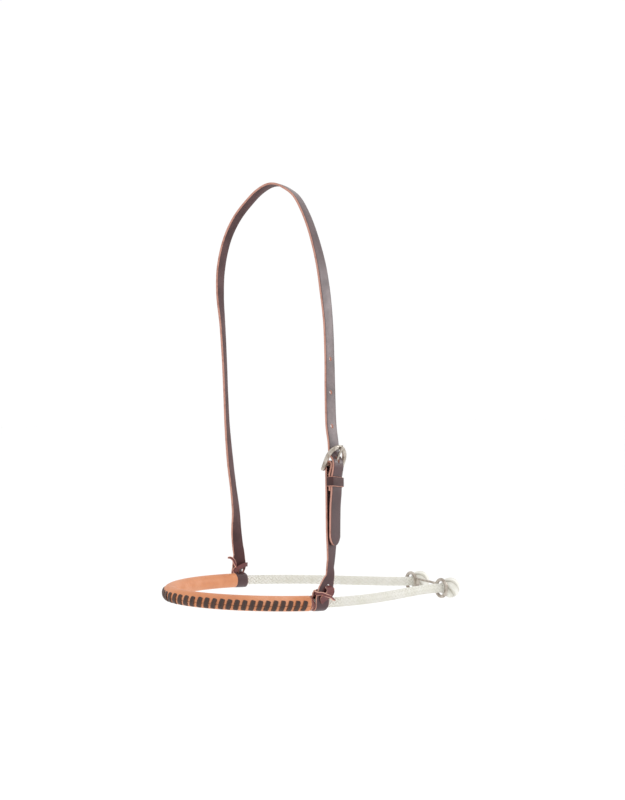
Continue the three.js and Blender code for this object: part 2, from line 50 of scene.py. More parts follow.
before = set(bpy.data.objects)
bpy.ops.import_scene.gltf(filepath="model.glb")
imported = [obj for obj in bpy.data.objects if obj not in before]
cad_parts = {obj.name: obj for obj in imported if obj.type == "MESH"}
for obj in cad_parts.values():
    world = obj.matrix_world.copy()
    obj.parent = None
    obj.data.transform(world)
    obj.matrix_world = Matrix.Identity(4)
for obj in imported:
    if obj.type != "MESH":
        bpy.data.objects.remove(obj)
cad_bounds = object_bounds()
random.seed(7)

# ---- Driving dimensions ----
GAP = 0.0003

CROWN_HEIGHT = 0.400
CROWN_SETBACK = 0.0053
CROWN_TURN = 35
NOSEBAND_DROOP = 2.5

STRAP_WIDTH = 0.0159
STRAP_THICKNESS = 0.0020
HOLE_RADIUS = 0.0021

WRAP_WIDTH = 0.0134  # of the cheeks' ends, turned round the rope
WRAP_SHIFT = 0.0014  # their middle lies this far ahead of the ties

ROPE_RADIUS = 0.0048
TIE_HALF_WIDTH = 0.081
NOSE_LENGTH = 0.113
NOSE_FULLNESS = 1.84

COVER_OUTER_RADIUS = 0.0072
COVER_INNER_RADIUS = ROPE_RADIUS + 1.5 * GAP
COVER_SEAM = 0.0005
SEAM_ANGLE = -14  # degrees above the outside of the curve
LACE_BARS = 40
LACE_WIDTH = 0.0047
LACE_THICKNESS = 0.0010
LACE_REACH = 45  # degrees either side of the seam
BINDING_LENGTH = 0.0042

BAR_RADIUS = 0.0018
FRAME_RADIUS = 0.0158
FRAME_RISE = 0.0045
FRAME_FOOT = 0.0050
FRAME_RIM = 0.0048
FRAME_THICKNESS = 0.0034
FRAME_TILT = 24
KEEPER_THICKNESS = 0.0013
KEEPER_TOP = -0.0112
KEEPER_HEIGHT = 0.0094

EYE_RADIUS = 0.0105
EYE_HOLE_RADIUS = 0.0070
EYE_SPACING = 0.055
EYE_STATION = 0.178
CONNECTOR_THICKNESS = 0.0034
KNOT_STATION = 0.1895
ROPE_END = 0.182

# ---- Camera ----
CAMERA_AIM = Vector((0.0417, -0.0039, -0.2112))
CAMERA_DISTANCE = 1.3
CAMERA_AZIMUTH = -30.37
CAMERA_ELEVATION = 0.88
CAMERA_LENS = 58.52
SENSOR = 36


def make_camera():
    azimuth = math.radians(CAMERA_AZIMUTH)
    elevation = math.radians(CAMERA_ELEVATION)
    flat = math.cos(elevation)
    back = Vector((math.sin(azimuth) * flat, -math.cos(azimuth) * flat, math.sin(elevation)))
    data = bpy.data.cameras.new("camera")
    data.lens = CAMERA_LENS
    data.sensor_width = SENSOR
    data.clip_end = 50
    camera = place("camera", data)
    camera.location = CAMERA_AIM + back * CAMERA_DISTANCE
    camera.rotation_euler = back.to_track_quat("Z", "Y").to_euler()
    bpy.context.scene.camera = camera


# ---- Curves ----
def heading(degrees):
    return Vector((math.cos(math.radians(degrees)), math.sin(math.radians(degrees)), 0))


class Route:
    """A centripetal Catmull-Rom curve through points, with a parameter from 0 to 1."""

    def __init__(self, points):
        self.points = [Vector(point) for point in points]
        first = self.points[0] * 2 - self.points[1]
        last = self.points[-1] * 2 - self.points[-2]
        self.around = [first, *self.points, last]
        self.spans = len(self.points) - 1

    def point(self, t):
        place = min(max(t, 0.0), 1.0) * self.spans
        index = min(int(place), self.spans - 1)
        weight = place - index
        a, b, c, d = self.around[index : index + 4]
        ab, bc, cd = ((q - p).length ** 0.5 for p, q in ((a, b), (b, c), (c, d)))
        leave = ((b - a) / ab - (c - a) / (ab + bc) + (c - b) / bc) * bc
        arrive = ((c - b) / bc - (d - b) / (bc + cd) + (d - c) / cd) * bc
        square = weight * weight
        cube = square * weight
        return (
            b * (2 * cube - 3 * square + 1)
            + leave * (cube - 2 * square + weight)
            + c * (3 * square - 2 * cube)
            + arrive * (cube - square)
        )

    def tangent(self, t):
        step = 1e-4
        return (self.point(t + step) - self.point(t - step)).normalized()

    def measure(self, divisions=1200):
        """Stores the length up to each of the curve's divisions, for parameter."""
        self.lengths = [0.0]
        previous = self.point(0)
        for i in range(1, divisions + 1):
            point = self.point(i / divisions)
            self.lengths.append(self.lengths[-1] + (point - previous).length)
            previous = point
        self.length = self.lengths[-1]

    def parameter(self, distance):
        """The parameter at a distance along the curve."""
        low, high = 0, len(self.lengths) - 1
        while high - low > 1:
            middle = (low + high) // 2
            if self.lengths[middle] <= distance:
                low = middle
            else:
                high = middle
        share = (distance - self.lengths[low]) / (self.lengths[high] - self.lengths[low])
        return (low + share) / (len(self.lengths) - 1)


# ---- The rope's route, in noseband coordinates ----
SIDE_ROUTE = [
    (0.014, 0.0805), (0.030, 0.0785), (0.048, 0.0748), (0.066, 0.0695), (0.084, 0.0628),
    (0.102, 0.0550), (0.118, 0.0472), (0.134, 0.0400), (0.148, 0.0340), (0.162, 0.0296),
    (0.174, 0.0277), (ROPE_END, EYE_SPACING / 2),
]
NOSE_POINTS = 16

noseband_place = Matrix.Translation((CROWN_SETBACK, 0, -CROWN_HEIGHT)) @ Matrix.Rotation(
    math.radians(NOSEBAND_DROOP), 4, "Y"
)


def rope_route():
    points = [(x, -y, 0) for x, y in reversed(SIDE_ROUTE)]
    for i in range(NOSE_POINTS + 1):
        angle = math.pi * i / NOSE_POINTS
        reach = math.sin(angle) ** (2 / NOSE_FULLNESS) if 0 < i < NOSE_POINTS else 0
        side = math.copysign(abs(math.cos(angle)) ** (2 / NOSE_FULLNESS), -math.cos(angle))
        points.append((-NOSE_LENGTH * reach, TIE_HALF_WIDTH * side, 0))
    return Route(points + [(x, y, 0) for x, y in SIDE_ROUTE])


route = rope_route()
route.measure()


def tie_distance():
    """The distance along the rope from the middle of the nose to a tie."""
    low, high = 0.0, route.length / 2
    for _ in range(40):
        middle = (low + high) / 2
        if route.point(route.parameter(middle)).x > 0:
            low = middle
        else:
            high = middle
    return route.length / 2 - low


TIE = tie_distance()
BINDING_OUTER = TIE - WRAP_WIDTH / 2 - WRAP_SHIFT - GAP
COVER_END = BINDING_OUTER - BINDING_LENGTH - GAP


def rope_frame(distance):
    """The point at a distance from the nose's middle, with the directions outwards and up."""
    t = route.parameter(min(max(route.length / 2 + distance, 0), route.length * 0.99999))
    out = Vector((0, 0, 1)).cross(route.tangent(t)).normalized()
    turn = noseband_place.to_3x3()
    return noseband_place @ route.point(t), turn @ out, turn @ Vector((0, 0, 1))


def around_rope(distance, radius, angle):
    """A point round the rope, at an angle in radians up from the outside of its curve."""
    point, out, up = rope_frame(distance)
    return point + out * (radius * math.cos(angle)) + up * (radius * math.sin(angle))


# ---- The cheek's frame ----
CHEEK_TOP = Vector((0.0149, -0.07445, 0.128))
CHEEK_FOOT = Vector((0.0098, -0.0845, 0.060))
CHEEK_HEADING = 23
LAYER = STRAP_THICKNESS + GAP
FOLD_RADIUS = BAR_RADIUS + GAP + STRAP_THICKNESS / 2
KEEPER_BACK_OUT = -FOLD_RADIUS + STRAP_THICKNESS / 2 + GAP + KEEPER_THICKNESS / 2
SHORT_OUT = -FOLD_RADIUS + STRAP_THICKNESS + KEEPER_THICKNESS + 2 * GAP
BILLET_OUT = SHORT_OUT + LAYER
crown_offset = Vector((CROWN_SETBACK, 0, -CROWN_HEIGHT))

cheek_up = (CHEEK_TOP - CHEEK_FOOT).normalized()
cheek_across = heading(CHEEK_HEADING)
cheek_across = (cheek_across - cheek_up * cheek_across.dot(cheek_up)).normalized()
cheek_out = cheek_across.cross(cheek_up)
heel_bar = CHEEK_TOP + cheek_out * FOLD_RADIUS + crown_offset


def on_cheek(across, out, up):
    return heel_bar + cheek_across * across + cheek_out * out + cheek_up * up


def cheek_station(out, up, width=STRAP_WIDTH):
    return on_cheek(0, out, up), width, cheek_across


def strap_station(x, y, z, turn, width=STRAP_WIDTH):
    """A station in the headstall's coordinates, whose heights are measured from the rope."""
    return Vector((x, y, z)) + crown_offset, width, heading(turn)


def noseband_station(x, y, z, width=STRAP_WIDTH, across=(1, 0, 0)):
    """A station in noseband coordinates."""
    return noseband_place @ Vector((x, y, z)), width, noseband_place.to_3x3() @ Vector(across)


# ---- Meshes ----
def smooth(mesh, angle=40):
    mesh.polygons.foreach_set("use_smooth", [True] * len(mesh.polygons))
    mesh.set_sharp_from_angle(angle=math.radians(angle))


def assemble(name, points, faces, coordinates, marks, materials):
    """A mesh from its points and faces, with each face's material and the corners' UV map."""
    mesh = bpy.data.meshes.new(name)
    mesh.from_pydata(points, [], faces)
    mesh.uv_layers.new(name="surface")
    mesh.uv_layers["surface"].uv.foreach_set("vector", [x for pair in coordinates for x in pair])
    mesh.polygons.foreach_set("material_index", marks)
    for material in materials:
        mesh.materials.append(material)
    return mesh


def place(name, data):
    """A new object in the scene, for a mesh, a camera or a light."""
    made = bpy.data.objects.new(name, data)
    bpy.context.scene.collection.objects.link(made)
    return made


def skin(name, rings, materials, sides=None, closed=False, angle=40):
    """
    A mesh through rings of points, one ring for each step along the piece. Its UV map holds the
    distance along the piece, and the share of the way round it. Each side of the ring takes the
    material that sides names. The ends are capped unless the rings close on themselves.
    """
    count = len(rings[0])
    points = [point for ring in rings for point in ring]
    distance = [0.0]
    for before, after in zip(rings, rings[1:]):
        gap = sum(before, Vector()) / count - sum(after, Vector()) / count
        distance.append(distance[-1] + gap.length)
    faces, marks, coordinates = [], [], []
    steps = len(rings) if closed else len(rings) - 1
    for i in range(steps):
        following = (i + 1) % len(rings)
        start = distance[i]
        end = distance[following] if following else 2 * distance[-1] - distance[-2]
        for j in range(count):
            k = (j + 1) % count
            faces.append((i * count + j, i * count + k, following * count + k, following * count + j))
            marks.append(sides[j] if sides else 0)
            low, high = j / count, (j + 1) / count
            coordinates += [(start, low), (start, high), (end, high), (end, low)]
    if not closed:
        last = (len(rings) - 1) * count
        cap = max(sides) if sides else 0
        for corners, along in ((range(count - 1, -1, -1), 0), (range(last, last + count), distance[-1])):
            faces.append(tuple(corners))
            marks.append(cap)
            coordinates += [(along, (corner % count) / count) for corner in corners]
    mesh = assemble(name, points, faces, coordinates, marks, materials)
    outwards(mesh)
    smooth(mesh, angle)
    return place(name, mesh)


def outwards(mesh):
    """Turns the faces out, if the closed mesh is inside out."""
    volume = 0.0
    for face in mesh.polygons:
        a, *others = (mesh.vertices[i].co for i in face.vertices)
        for b, c in zip(others, others[1:]):
            volume += a.dot(b.cross(c))
    if volume < 0:
        mesh.flip_normals()


def merge(name, *parts):
    """One object from several meshes, with their materials kept."""
    materials, points, faces, marks, coordinates = [], [], [], [], []
    for part in parts:
        mesh = part.data
        start = len(points)
        points += [part.matrix_world @ vertex.co for vertex in mesh.vertices]
        known = []
        for material in mesh.materials:
            if material not in materials:
                materials.append(material)
            known.append(materials.index(material))
        faces += [tuple(start + i for i in face.vertices) for face in mesh.polygons]
        marks += [known[face.material_index] for face in mesh.polygons]
        coordinates += [tuple(corner.vector) for corner in mesh.uv_layers["surface"].uv]
    whole = assemble(name, points, faces, coordinates, marks, materials)
    smooth(whole)
    for part in parts:
        bpy.data.objects.remove(part)
    return place(name, whole)


def oval(half_width, half_height, corners, squareness=2.0):
    """The corners of an oval section. A higher squareness fills its corners out."""
    section = []
    for i in range(corners):
        angle = 2 * math.pi * i / corners
        x, y = math.cos(angle), math.sin(angle)
        section.append((
            math.copysign(abs(x) ** (2 / squareness) * half_width, x),
            math.copysign(abs(y) ** (2 / squareness) * half_height, y),
        ))
    return section


def rings_along(stations, section_at, steps):
    """
    Rings along the curve through stations of (point, width, across). section_at gives the section
    from the width and the share of the way along.
    """
    curve = Route([point for point, _, _ in stations])
    spans = curve.spans
    rings = []
    for i in range(spans * steps + 1):
        t = i / (spans * steps)
        index = min(int(t * spans + 1e-9), spans - 1)
        part = t * spans - index
        _, width_a, across_a = stations[index]
        _, width_b, across_b = stations[index + 1]
        along = curve.tangent(t)
        across = Vector(across_a).lerp(Vector(across_b), part)
        across = (across - along * across.dot(along)).normalized()
        through = along.cross(across)
        width = width_a + (width_b - width_a) * part
        point = curve.point(t)
        rings.append([point + across * x + through * y for x, y in section_at(width, t)])
    return rings


def rings_facing(path, section_at):
    """Rings along a path of (point, away), turned to face away. section_at gives each's section."""
    rings = []
    for i, (point, away) in enumerate(path):
        before, after = path[max(i - 1, 0)][0], path[min(i + 1, len(path) - 1)][0]
        along = (after - before).normalized()
        across = along.cross(away).normalized()
        through = across.cross(along)
        rings.append([point + across * x + through * y for x, y in section_at(i)])
    return rings


# The sides of a strap's section, in the order of its corners.
FACE_CORNERS = 9
EDGE_CORNERS = 3
GRAIN, FLESH, CUT = 0, 1, 2


def strap_section(width, thickness, crown=0.00012):
    """A strap's section: two faces, very slightly crowned, between two rounded cut edges."""
    half, depth = width / 2, thickness / 2
    soft = min(0.00045, half * 0.4)
    section = []
    for sign in (1, -1):
        for i in range(FACE_CORNERS):
            share = 1 - 2 * i / (FACE_CORNERS - 1)
            rise = crown * (1 - share * share)
            section.append((sign * share * (half - soft), sign * (depth + rise)))
        for i in range(EDGE_CORNERS):
            angle = math.radians(90 * (i + 1) / (EDGE_CORNERS + 1) * 2)
            section.append((
                -sign * (half - soft + soft * math.sin(angle)),
                sign * depth * math.cos(angle),
            ))
    return section


def lace_section(width, thickness, bevel=0.0005):
    """A lace's section: its first face is narrower than its second, with cut edges between."""
    half, depth = width / 2, thickness / 2
    top = max(half - bevel, half * 0.3)
    section = []
    for i in range(FACE_CORNERS):
        section.append((top * (1 - 2 * i / (FACE_CORNERS - 1)), depth))
    for i in range(EDGE_CORNERS):
        share = (i + 1) / (EDGE_CORNERS + 1)
        section.append((-top - (half - top) * share, depth - 2 * depth * share))
    for i in range(FACE_CORNERS):
        section.append((-half * (1 - 2 * i / (FACE_CORNERS - 1)), -depth))
    for i in range(EDGE_CORNERS):
        share = (i + 1) / (EDGE_CORNERS + 1)
        section.append((half - (half - top) * share, -depth + 2 * depth * share))
    return section


def strap_sides(first, second):
    face = FACE_CORNERS - 1
    edge = EDGE_CORNERS + 1
    return [first] * face + [CUT] * edge + [second] * face + [CUT] * edge


def strap(name, stations, materials, grain_first, thickness=STRAP_THICKNESS, steps=6):
    """A leather strap. grain_first says that its grain is on the side that along x across faces."""
    sides = strap_sides(GRAIN, FLESH) if grain_first else strap_sides(FLESH, GRAIN)
    rings = rings_along(stations, lambda width, _: strap_section(width, thickness), steps)
    return skin(name, rings, materials, sides, angle=50)


def punch(piece, cutters):
    """Cuts holes with closed meshes, and gives the holes' walls the cut edges' material."""
    for cutter in cutters:
        for material in piece.data.materials:
            cutter.data.materials.append(material)
        cutter.data.polygons.foreach_set("material_index", [CUT] * len(cutter.data.polygons))
        modifier = piece.modifiers.new("punch", "BOOLEAN")
        modifier.operation = "DIFFERENCE"
        modifier.solver = "EXACT"
        modifier.object = cutter
    depsgraph = bpy.context.evaluated_depsgraph_get()
    mesh = bpy.data.meshes.new_from_object(piece.evaluated_get(depsgraph))
    piece.modifiers.clear()
    piece.data = mesh
    smooth(mesh, 50)
    for cutter in cutters:
        bpy.data.objects.remove(cutter)
    return piece


def rod(start, end, radius, corners=20, name="rod"):
    """A closed cylinder, for cutting holes."""
    axis = (end - start).normalized()
    side = axis.orthogonal().normalized()
    other = axis.cross(side)
    section = oval(radius, radius, corners)
    rings = [[point + side * x + other * y for x, y in section] for point in (start, end)]
    return skin(name, rings, [])


# ---- Materials ----
def srgb(red, green, blue):
    """A linear colour from its 0 to 255 sRGB values."""
    shares = (red / 255, green / 255, blue / 255)
    return (*(c / 12.92 if c <= 0.04 else ((c + 0.055) / 1.055) ** 2.4 for c in shares), 1.0)


class Finish:
    """A material's node tree, with short calls for the nodes that the finishes share."""

    def __init__(self, name, **sockets):
        self.material = bpy.data.materials.new(name)
        self.material.use_nodes = True
        self.tree = self.material.node_tree
        self.shader = self.tree.nodes["Principled BSDF"]
        for socket, value in sockets.items():
            self.shader.inputs[socket.replace("_", " ")].default_value = value

    def node(self, kind, **settings):
        made = self.tree.nodes.new("ShaderNode" + kind)
        for setting, value in settings.items():
            setattr(made, setting, value)
        return made

    def link(self, source, socket):
        self.tree.links.new(source, socket)

    def put(self, source, socket):
        self.link(source, self.shader.inputs[socket])

    def coordinates(self, scale, kind="UV"):
        """The surface's UV or object coordinates, scaled."""
        mapping = self.node("Mapping")
        mapping.inputs["Scale"].default_value = scale
        self.link(self.node("TexCoord").outputs[kind], mapping.inputs["Vector"])
        return mapping.outputs["Vector"]

    def noise(self, vector, scale=1.0, detail=4.0, roughness=0.55):
        made = self.node("TexNoise")
        made.inputs["Scale"].default_value = scale
        made.inputs["Detail"].default_value = detail
        made.inputs["Roughness"].default_value = roughness
        self.link(vector, made.inputs["Vector"])
        return made.outputs["Fac"]

    def cells(self, vector, scale=1.0, feature="F1"):
        made = self.node("TexVoronoi", feature=feature)
        made.inputs["Scale"].default_value = scale
        self.link(vector, made.inputs["Vector"])
        return made.outputs["Distance"]

    def ramp(self, source, *stops):
        """Colours or greys, each at its place from 0 to 1."""
        made = self.node("ValToRGB")
        elements = made.color_ramp.elements
        while len(elements) < len(stops):
            elements.new(0.5)
        for element, (place, colour) in zip(elements, stops):
            element.position = place
            element.color = colour if isinstance(colour, tuple) else (colour, colour, colour, 1)
        self.link(source, made.inputs["Fac"])
        return made.outputs["Color"]

    def math(self, operation, first, second=None):
        made = self.node("Math", operation=operation)
        for socket, value in zip(made.inputs, (first, second)):
            if isinstance(value, (int, float)):
                socket.default_value = value
            elif value is not None:
                self.link(value, socket)
        return made.outputs["Value"]

    def mix(self, share, first, second, blend="MIX"):
        made = self.node("Mix", data_type="RGBA", blend_type=blend)
        for socket, value in ((made.inputs[0], share), (made.inputs[6], first), (made.inputs[7], second)):
            if isinstance(value, (int, float, tuple)):
                socket.default_value = value
            else:
                self.link(value, socket)
        return made.outputs[2]

    def separate(self, vector):
        made = self.node("SeparateXYZ")
        self.link(vector, made.inputs["Vector"])
        return made.outputs

    def bump(self, *layers):
        """Stacked bumps, each a (height, strength, distance in metres)."""
        normal = None
        for height, strength, distance in layers:
            made = self.node("Bump")
            made.inputs["Strength"].default_value = strength
            made.inputs["Distance"].default_value = distance
            self.link(height, made.inputs["Height"])
            if normal is not None:
                self.link(normal, made.inputs["Normal"])
            normal = made.outputs["Normal"]
        self.put(normal, "Normal")
        return self.material


STREAKS = (60, 9, 1)  # UV scale that draws spots out along a strap
GRAIN_CELLS = 1500  # cells per metre


def latigo(name, dark, light, roughness, coat):
    """Oiled strap leather: fine grain, faint streaks along the strap and scuffed high spots."""
    finish = Finish(name, Specular_IOR_Level=0.5, Coat_Weight=coat, Coat_Roughness=0.32)
    body = finish.coordinates((1, 1, 1), "Object")
    streaks = finish.noise(finish.coordinates(STREAKS), 1, 5, 0.6)
    blotches = finish.noise(body, 55, 3)
    colour = finish.ramp(finish.math("MULTIPLY_ADD", streaks, 0.55), (0.12, dark), (0.62, light))
    colour = finish.mix(finish.ramp(blotches, (0.42, 0.0), (0.68, 0.55)), colour, dark)
    grain = finish.cells(body, GRAIN_CELLS, "SMOOTH_F1")
    wrinkles = finish.noise(body, 420, 6, 0.65)
    colour = finish.mix(finish.ramp(wrinkles, (0.55, 0.0), (0.8, 0.35)), colour, light)
    finish.put(colour, "Base Color")
    shine = finish.ramp(blotches, (0.3, roughness - 0.07), (0.7, roughness + 0.1))
    finish.put(shine, "Roughness")
    return finish.bump((grain, 0.35, 0.00018), (wrinkles, 0.45, 0.0003), (streaks, 0.2, 0.0004))


def cut_edge(name, pale, dark):
    """Raw cut leather: fibrous layers along the edge, and a little dye that has run in."""
    finish = Finish(name, Roughness=0.75, Specular_IOR_Level=0.3)
    body = finish.coordinates((1, 1, 1), "Object")
    fibres = finish.noise(finish.coordinates((900, 160, 1)), 1, 4, 0.7)
    stains = finish.noise(body, 160, 4, 0.6)
    colour = finish.mix(finish.ramp(stains, (0.34, 0.45), (0.5, 0.0)), pale, dark)
    colour = finish.mix(finish.ramp(fibres, (0.45, 0.0), (0.8, 0.35)), colour, dark)
    finish.put(colour, "Base Color")
    return finish.bump((fibres, 0.5, 0.0002), (stains, 0.3, 0.0002))


def make_cover_leather():
    """Natural tanned leather, with pores, pale and reddish areas and fine drawn creases."""
    finish = Finish("cover_leather", Specular_IOR_Level=0.45, Coat_Weight=0.08, Coat_Roughness=0.4)
    body = finish.coordinates((1, 1, 1), "Object")
    clouds = finish.noise(body, 42, 4, 0.6)
    creases = finish.noise(finish.coordinates((520, 26, 1)), 1, 5, 0.6)
    pores = finish.cells(body, 1900, "F1")
    colour = finish.ramp(clouds, (0.3, srgb(200, 126, 84)), (0.5, srgb(210, 138, 94)),
                         (0.7, srgb(220, 156, 120)))
    colour = finish.mix(finish.ramp(creases, (0.5, 0.0), (0.8, 0.4)), colour, srgb(190, 118, 82))
    colour = finish.mix(finish.ramp(pores, (0.0, 0.35), (0.3, 0.0)), colour, srgb(170, 104, 72))
    finish.put(colour, "Base Color")
    finish.put(finish.ramp(clouds, (0.3, 0.46), (0.7, 0.62)), "Roughness")
    return finish.bump((pores, 0.3, 0.00015), (creases, 0.3, 0.0002), (clouds, 0.25, 0.0006))


def make_black_lace():
    """Flat dark lace, with brown showing where its edges and high spots are rubbed."""
    finish = Finish("black_lace", Specular_IOR_Level=0.5)
    body = finish.coordinates((1, 1, 1), "Object")
    round_share = finish.separate(finish.coordinates((1, 1, 1)))["Y"]
    streaks = finish.noise(finish.coordinates((260, 14, 1)), 1, 5, 0.6)
    rubs = finish.noise(body, 480, 4, 0.6)
    colour = finish.ramp(rubs, (0.36, srgb(30, 21, 18)), (0.62, srgb(58, 38, 30)), (0.8, srgb(104, 66, 46)))
    edge = finish.ramp(finish.math("PINGPONG", round_share, 0.25), (0.0, 0.75), (0.28, 0.0))
    colour = finish.mix(edge, colour, srgb(96, 56, 38))
    finish.put(colour, "Base Color")
    finish.put(finish.ramp(streaks, (0.3, 0.4), (0.7, 0.62)), "Roughness")
    return finish.bump((streaks, 0.4, 0.0002), (rubs, 0.35, 0.0002))


def make_rope_fibre():
    """Off-white yarn: filaments along each strand and faint random soiling, with painted shade darkening
    each strand's edges where the strands meet.
    """
    finish = Finish("rope_fibre", Roughness=0.62, Specular_IOR_Level=0.4, Sheen_Weight=0.25)
    body = finish.coordinates((1, 1, 1), "Object")
    round_share = finish.separate(finish.coordinates((1, 1, 1)))["Y"]
    filaments = finish.noise(finish.coordinates((160, 22, 1)), 1, 3, 0.6)
    soil = finish.noise(body, 70, 4, 0.6)
    colour = finish.ramp(soil, (0.3, srgb(228, 227, 216)), (0.6, srgb(238, 237, 231)))
    colour = finish.mix(finish.ramp(filaments, (0.3, 0.5), (0.6, 0.0)), colour, srgb(188, 182, 162))
    # painted shade: each strand's edges are darkened towards grey-brown, standing in for the shade between
    # neighbouring strands
    edge = finish.ramp(finish.math("PINGPONG", round_share, 0.25), (0.0, 0.7), (0.2, 0.0))
    colour = finish.mix(edge, colour, srgb(158, 152, 134))
    finish.put(colour, "Base Color")
    return finish.bump((filaments, 0.6, 0.00025))


def make_nickel():
    """Worn nickel: drawn scratches, dull patches and a slightly uneven casting."""
    finish = Finish("nickel", Metallic=1.0)
    body = finish.coordinates((1, 1, 1), "Object")
    tarnish = finish.noise(body, 190, 5, 0.6)
    scratches = finish.noise(finish.coordinates((90, 60, 1)), 1, 6, 0.7)
    casting = finish.noise(body, 320, 3, 0.5)
    colour = finish.ramp(tarnish, (0.34, srgb(142, 130, 118)), (0.6, srgb(196, 188, 178)))
    finish.put(colour, "Base Color")
    finish.put(finish.ramp(scratches, (0.3, 0.2), (0.72, 0.42)), "Roughness")
    return finish.bump((scratches, 0.12, 0.0001), (casting, 0.3, 0.0003))


def make_thread():
    """Waxed thread: two plies twisted together."""
    finish = Finish("thread", Roughness=0.6, Specular_IOR_Level=0.4)
    plies = finish.node("TexWave", wave_type="BANDS", bands_direction="DIAGONAL")
    plies.inputs["Scale"].default_value = 1.0
    finish.link(finish.coordinates((700, 1, 1)), plies.inputs["Vector"])
    colour = finish.ramp(plies.outputs["Fac"], (0.0, srgb(150, 132, 100)), (0.6, srgb(214, 198, 160)))
    finish.put(colour, "Base Color")
    return finish.bump((plies.outputs["Fac"], 0.6, 0.0002))


grain_side = latigo("latigo_grain", srgb(36, 15, 17), srgb(72, 38, 42), 0.38, 0.3)
flesh_side = latigo("latigo_flesh", srgb(38, 10, 12), srgb(70, 26, 28), 0.6, 0.0)
edge_side = cut_edge("latigo_edge", srgb(198, 148, 132), srgb(132, 82, 70))
keeper_side = latigo("keeper_grain", srgb(36, 12, 12), srgb(66, 26, 25), 0.5, 0.04)
red_lace = latigo("red_lace", srgb(70, 26, 28), srgb(108, 52, 52), 0.42, 0.2)
lace_edge = cut_edge("lace_edge", srgb(226, 176, 158), srgb(168, 106, 92))
cover_leather = make_cover_leather()
cover_edge = cut_edge("cover_edge", srgb(232, 190, 156), srgb(196, 142, 108))
black_lace = make_black_lace()
rope_fibre = make_rope_fibre()
nickel = make_nickel()
thread = make_thread()
LATIGO = [grain_side, flesh_side, edge_side]
KEEPER_LATIGO = [keeper_side, flesh_side, edge_side]
RED_LACE = [red_lace, red_lace, lace_edge]

# ---- Rope ----
CARRIERS = 8  # strands that turn each way in the braid
BRAID_TURN = 2 * math.pi * 0.0040  # length in which a strand goes once round, at 45 degrees
STRAND_HALF_WIDTH = 0.00125
STRAND_HALF_THICKNESS = 0.00058
STRAND_RADIUS = 0.00385  # of the strands' middle
STRAND_SWING = 0.00042
CORE_RADIUS = 0.0037


def braid_strand(start, end, step, first_angle, direction):
    """One strand of the braid: over two of the strands that turn the other way, then under two."""
    count = round((end - start) / step)
    centres = []
    for i in range(-1, count + 2):
        distance = start + (end - start) * i / count
        crossings = 2 * CARRIERS * distance / BRAID_TURN
        wave = math.cos(math.pi / 2 * (crossings - 0.5))
        lift = direction * STRAND_SWING * math.tanh(2.2 * wave)
        angle = first_angle + direction * 2 * math.pi * distance / BRAID_TURN
        radius = STRAND_RADIUS + lift
        point, out, up = rope_frame(distance)
        away = out * math.cos(angle) + up * math.sin(angle)
        centres.append((point + away * radius, away))
    section = oval(STRAND_HALF_WIDTH, STRAND_HALF_THICKNESS, 7, 2.3)
    rings = rings_facing(centres, lambda _: section)[1:-1]
    return skin("strand", rings, [rope_fibre], angle=180)


def rope_core(start, end, radius, steps):
    rings = []
    for i in range(steps + 1):
        distance = start + (end - start) * i / steps
        rings.append([around_rope(distance, radius, 2 * math.pi * j / 16) for j in range(16)])
    return skin("core", rings, [rope_fibre], angle=180)


def make_rope():
    """The whole rope, from knot to knot. Its braid is made more coarsely inside the cover."""
    half = route.length / 2
    bare = TIE - 0.004
    parts = [rope_core(-half, half, CORE_RADIUS, 240)]
    for start, end, step in ((-half, -bare, 0.0006), (-bare, bare, 0.0022), (bare, half, 0.0006)):
        for i in range(CARRIERS):
            for direction in (1, -1):
                angle = 2 * math.pi * i / CARRIERS
                parts.append(braid_strand(start, end, step, angle, direction))
    rope = merge("braided_rope", *parts)
    path = [noseband_place @ route.point(i / 240) for i in range(241)]
    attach(rope, "noseband")
    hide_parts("rope")


KNOT_STRANDS = 5
KNOT_HALF_WIDTH = 0.0040
KNOT_HALF_THICKNESS = 0.0019


def knot_point(along, radius, angle):
    """A point of a knot, from its middle along the rope and round the rope's axis."""
    return Vector((along, radius * math.cos(angle), radius * math.sin(angle)))


def make_knot(name, node, side):
    """A crown knot: the strands turn out of the rope, over the ball and under each other."""
    middle = Vector((KNOT_STATION, side * EYE_SPACING / 2, 0))
    route_points = [
        (-0.0068, 0.0028, -24), (-0.0064, 0.0052, -8), (-0.0046, 0.0074, 10), (-0.0016, 0.0086, 34),
        (0.0018, 0.0086, 62), (0.0048, 0.0072, 92), (0.0068, 0.0046, 126), (0.0074, 0.0020, 178),
        (0.0060, 0.0014, 240), (0.0036, 0.0012, 262),
    ]
    parts = []
    for i in range(KNOT_STRANDS):
        first = 2 * math.pi * i / KNOT_STRANDS
        stations = []
        for along, radius, turn in route_points:
            angle = first + math.radians(turn)
            point = middle + knot_point(along, radius, angle)
            away = (point - middle).normalized()
            stations.append((noseband_place @ point, noseband_place.to_3x3() @ away))
        curve = Route([point for point, _ in stations])
        rings = []
        count = 54
        for j in range(count + 1):
            t = j / count
            index = min(int(t * curve.spans), curve.spans - 1)
            away = stations[index][1].lerp(stations[index + 1][1], t * curve.spans - index)
            along = curve.tangent(t)
            across = along.cross(away).normalized()
            through = across.cross(along)
            taper = 1 - 0.35 * abs(2 * t - 1) ** 3
            section = oval(KNOT_HALF_WIDTH * taper, KNOT_HALF_THICKNESS, 12, 2.2)
            point = curve.point(t)
            rings.append([point + across * x + through * y for x, y in section])
        parts.append(skin("strand", rings, [rope_fibre], angle=180))
    ball = []
    for i in range(1, 12):
        angle = math.pi * i / 12
        along = -0.0066 * math.cos(angle)
        radius = 0.0080 * math.sin(angle)
        ball.append([
            noseband_place @ (middle + knot_point(along, radius, 2 * math.pi * j / 20)) for j in range(20)
        ])
    parts.append(skin("ball", ball, [rope_fibre], angle=180))
    knot = merge(name, *parts)
    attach(knot, "noseband")
    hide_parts(node)


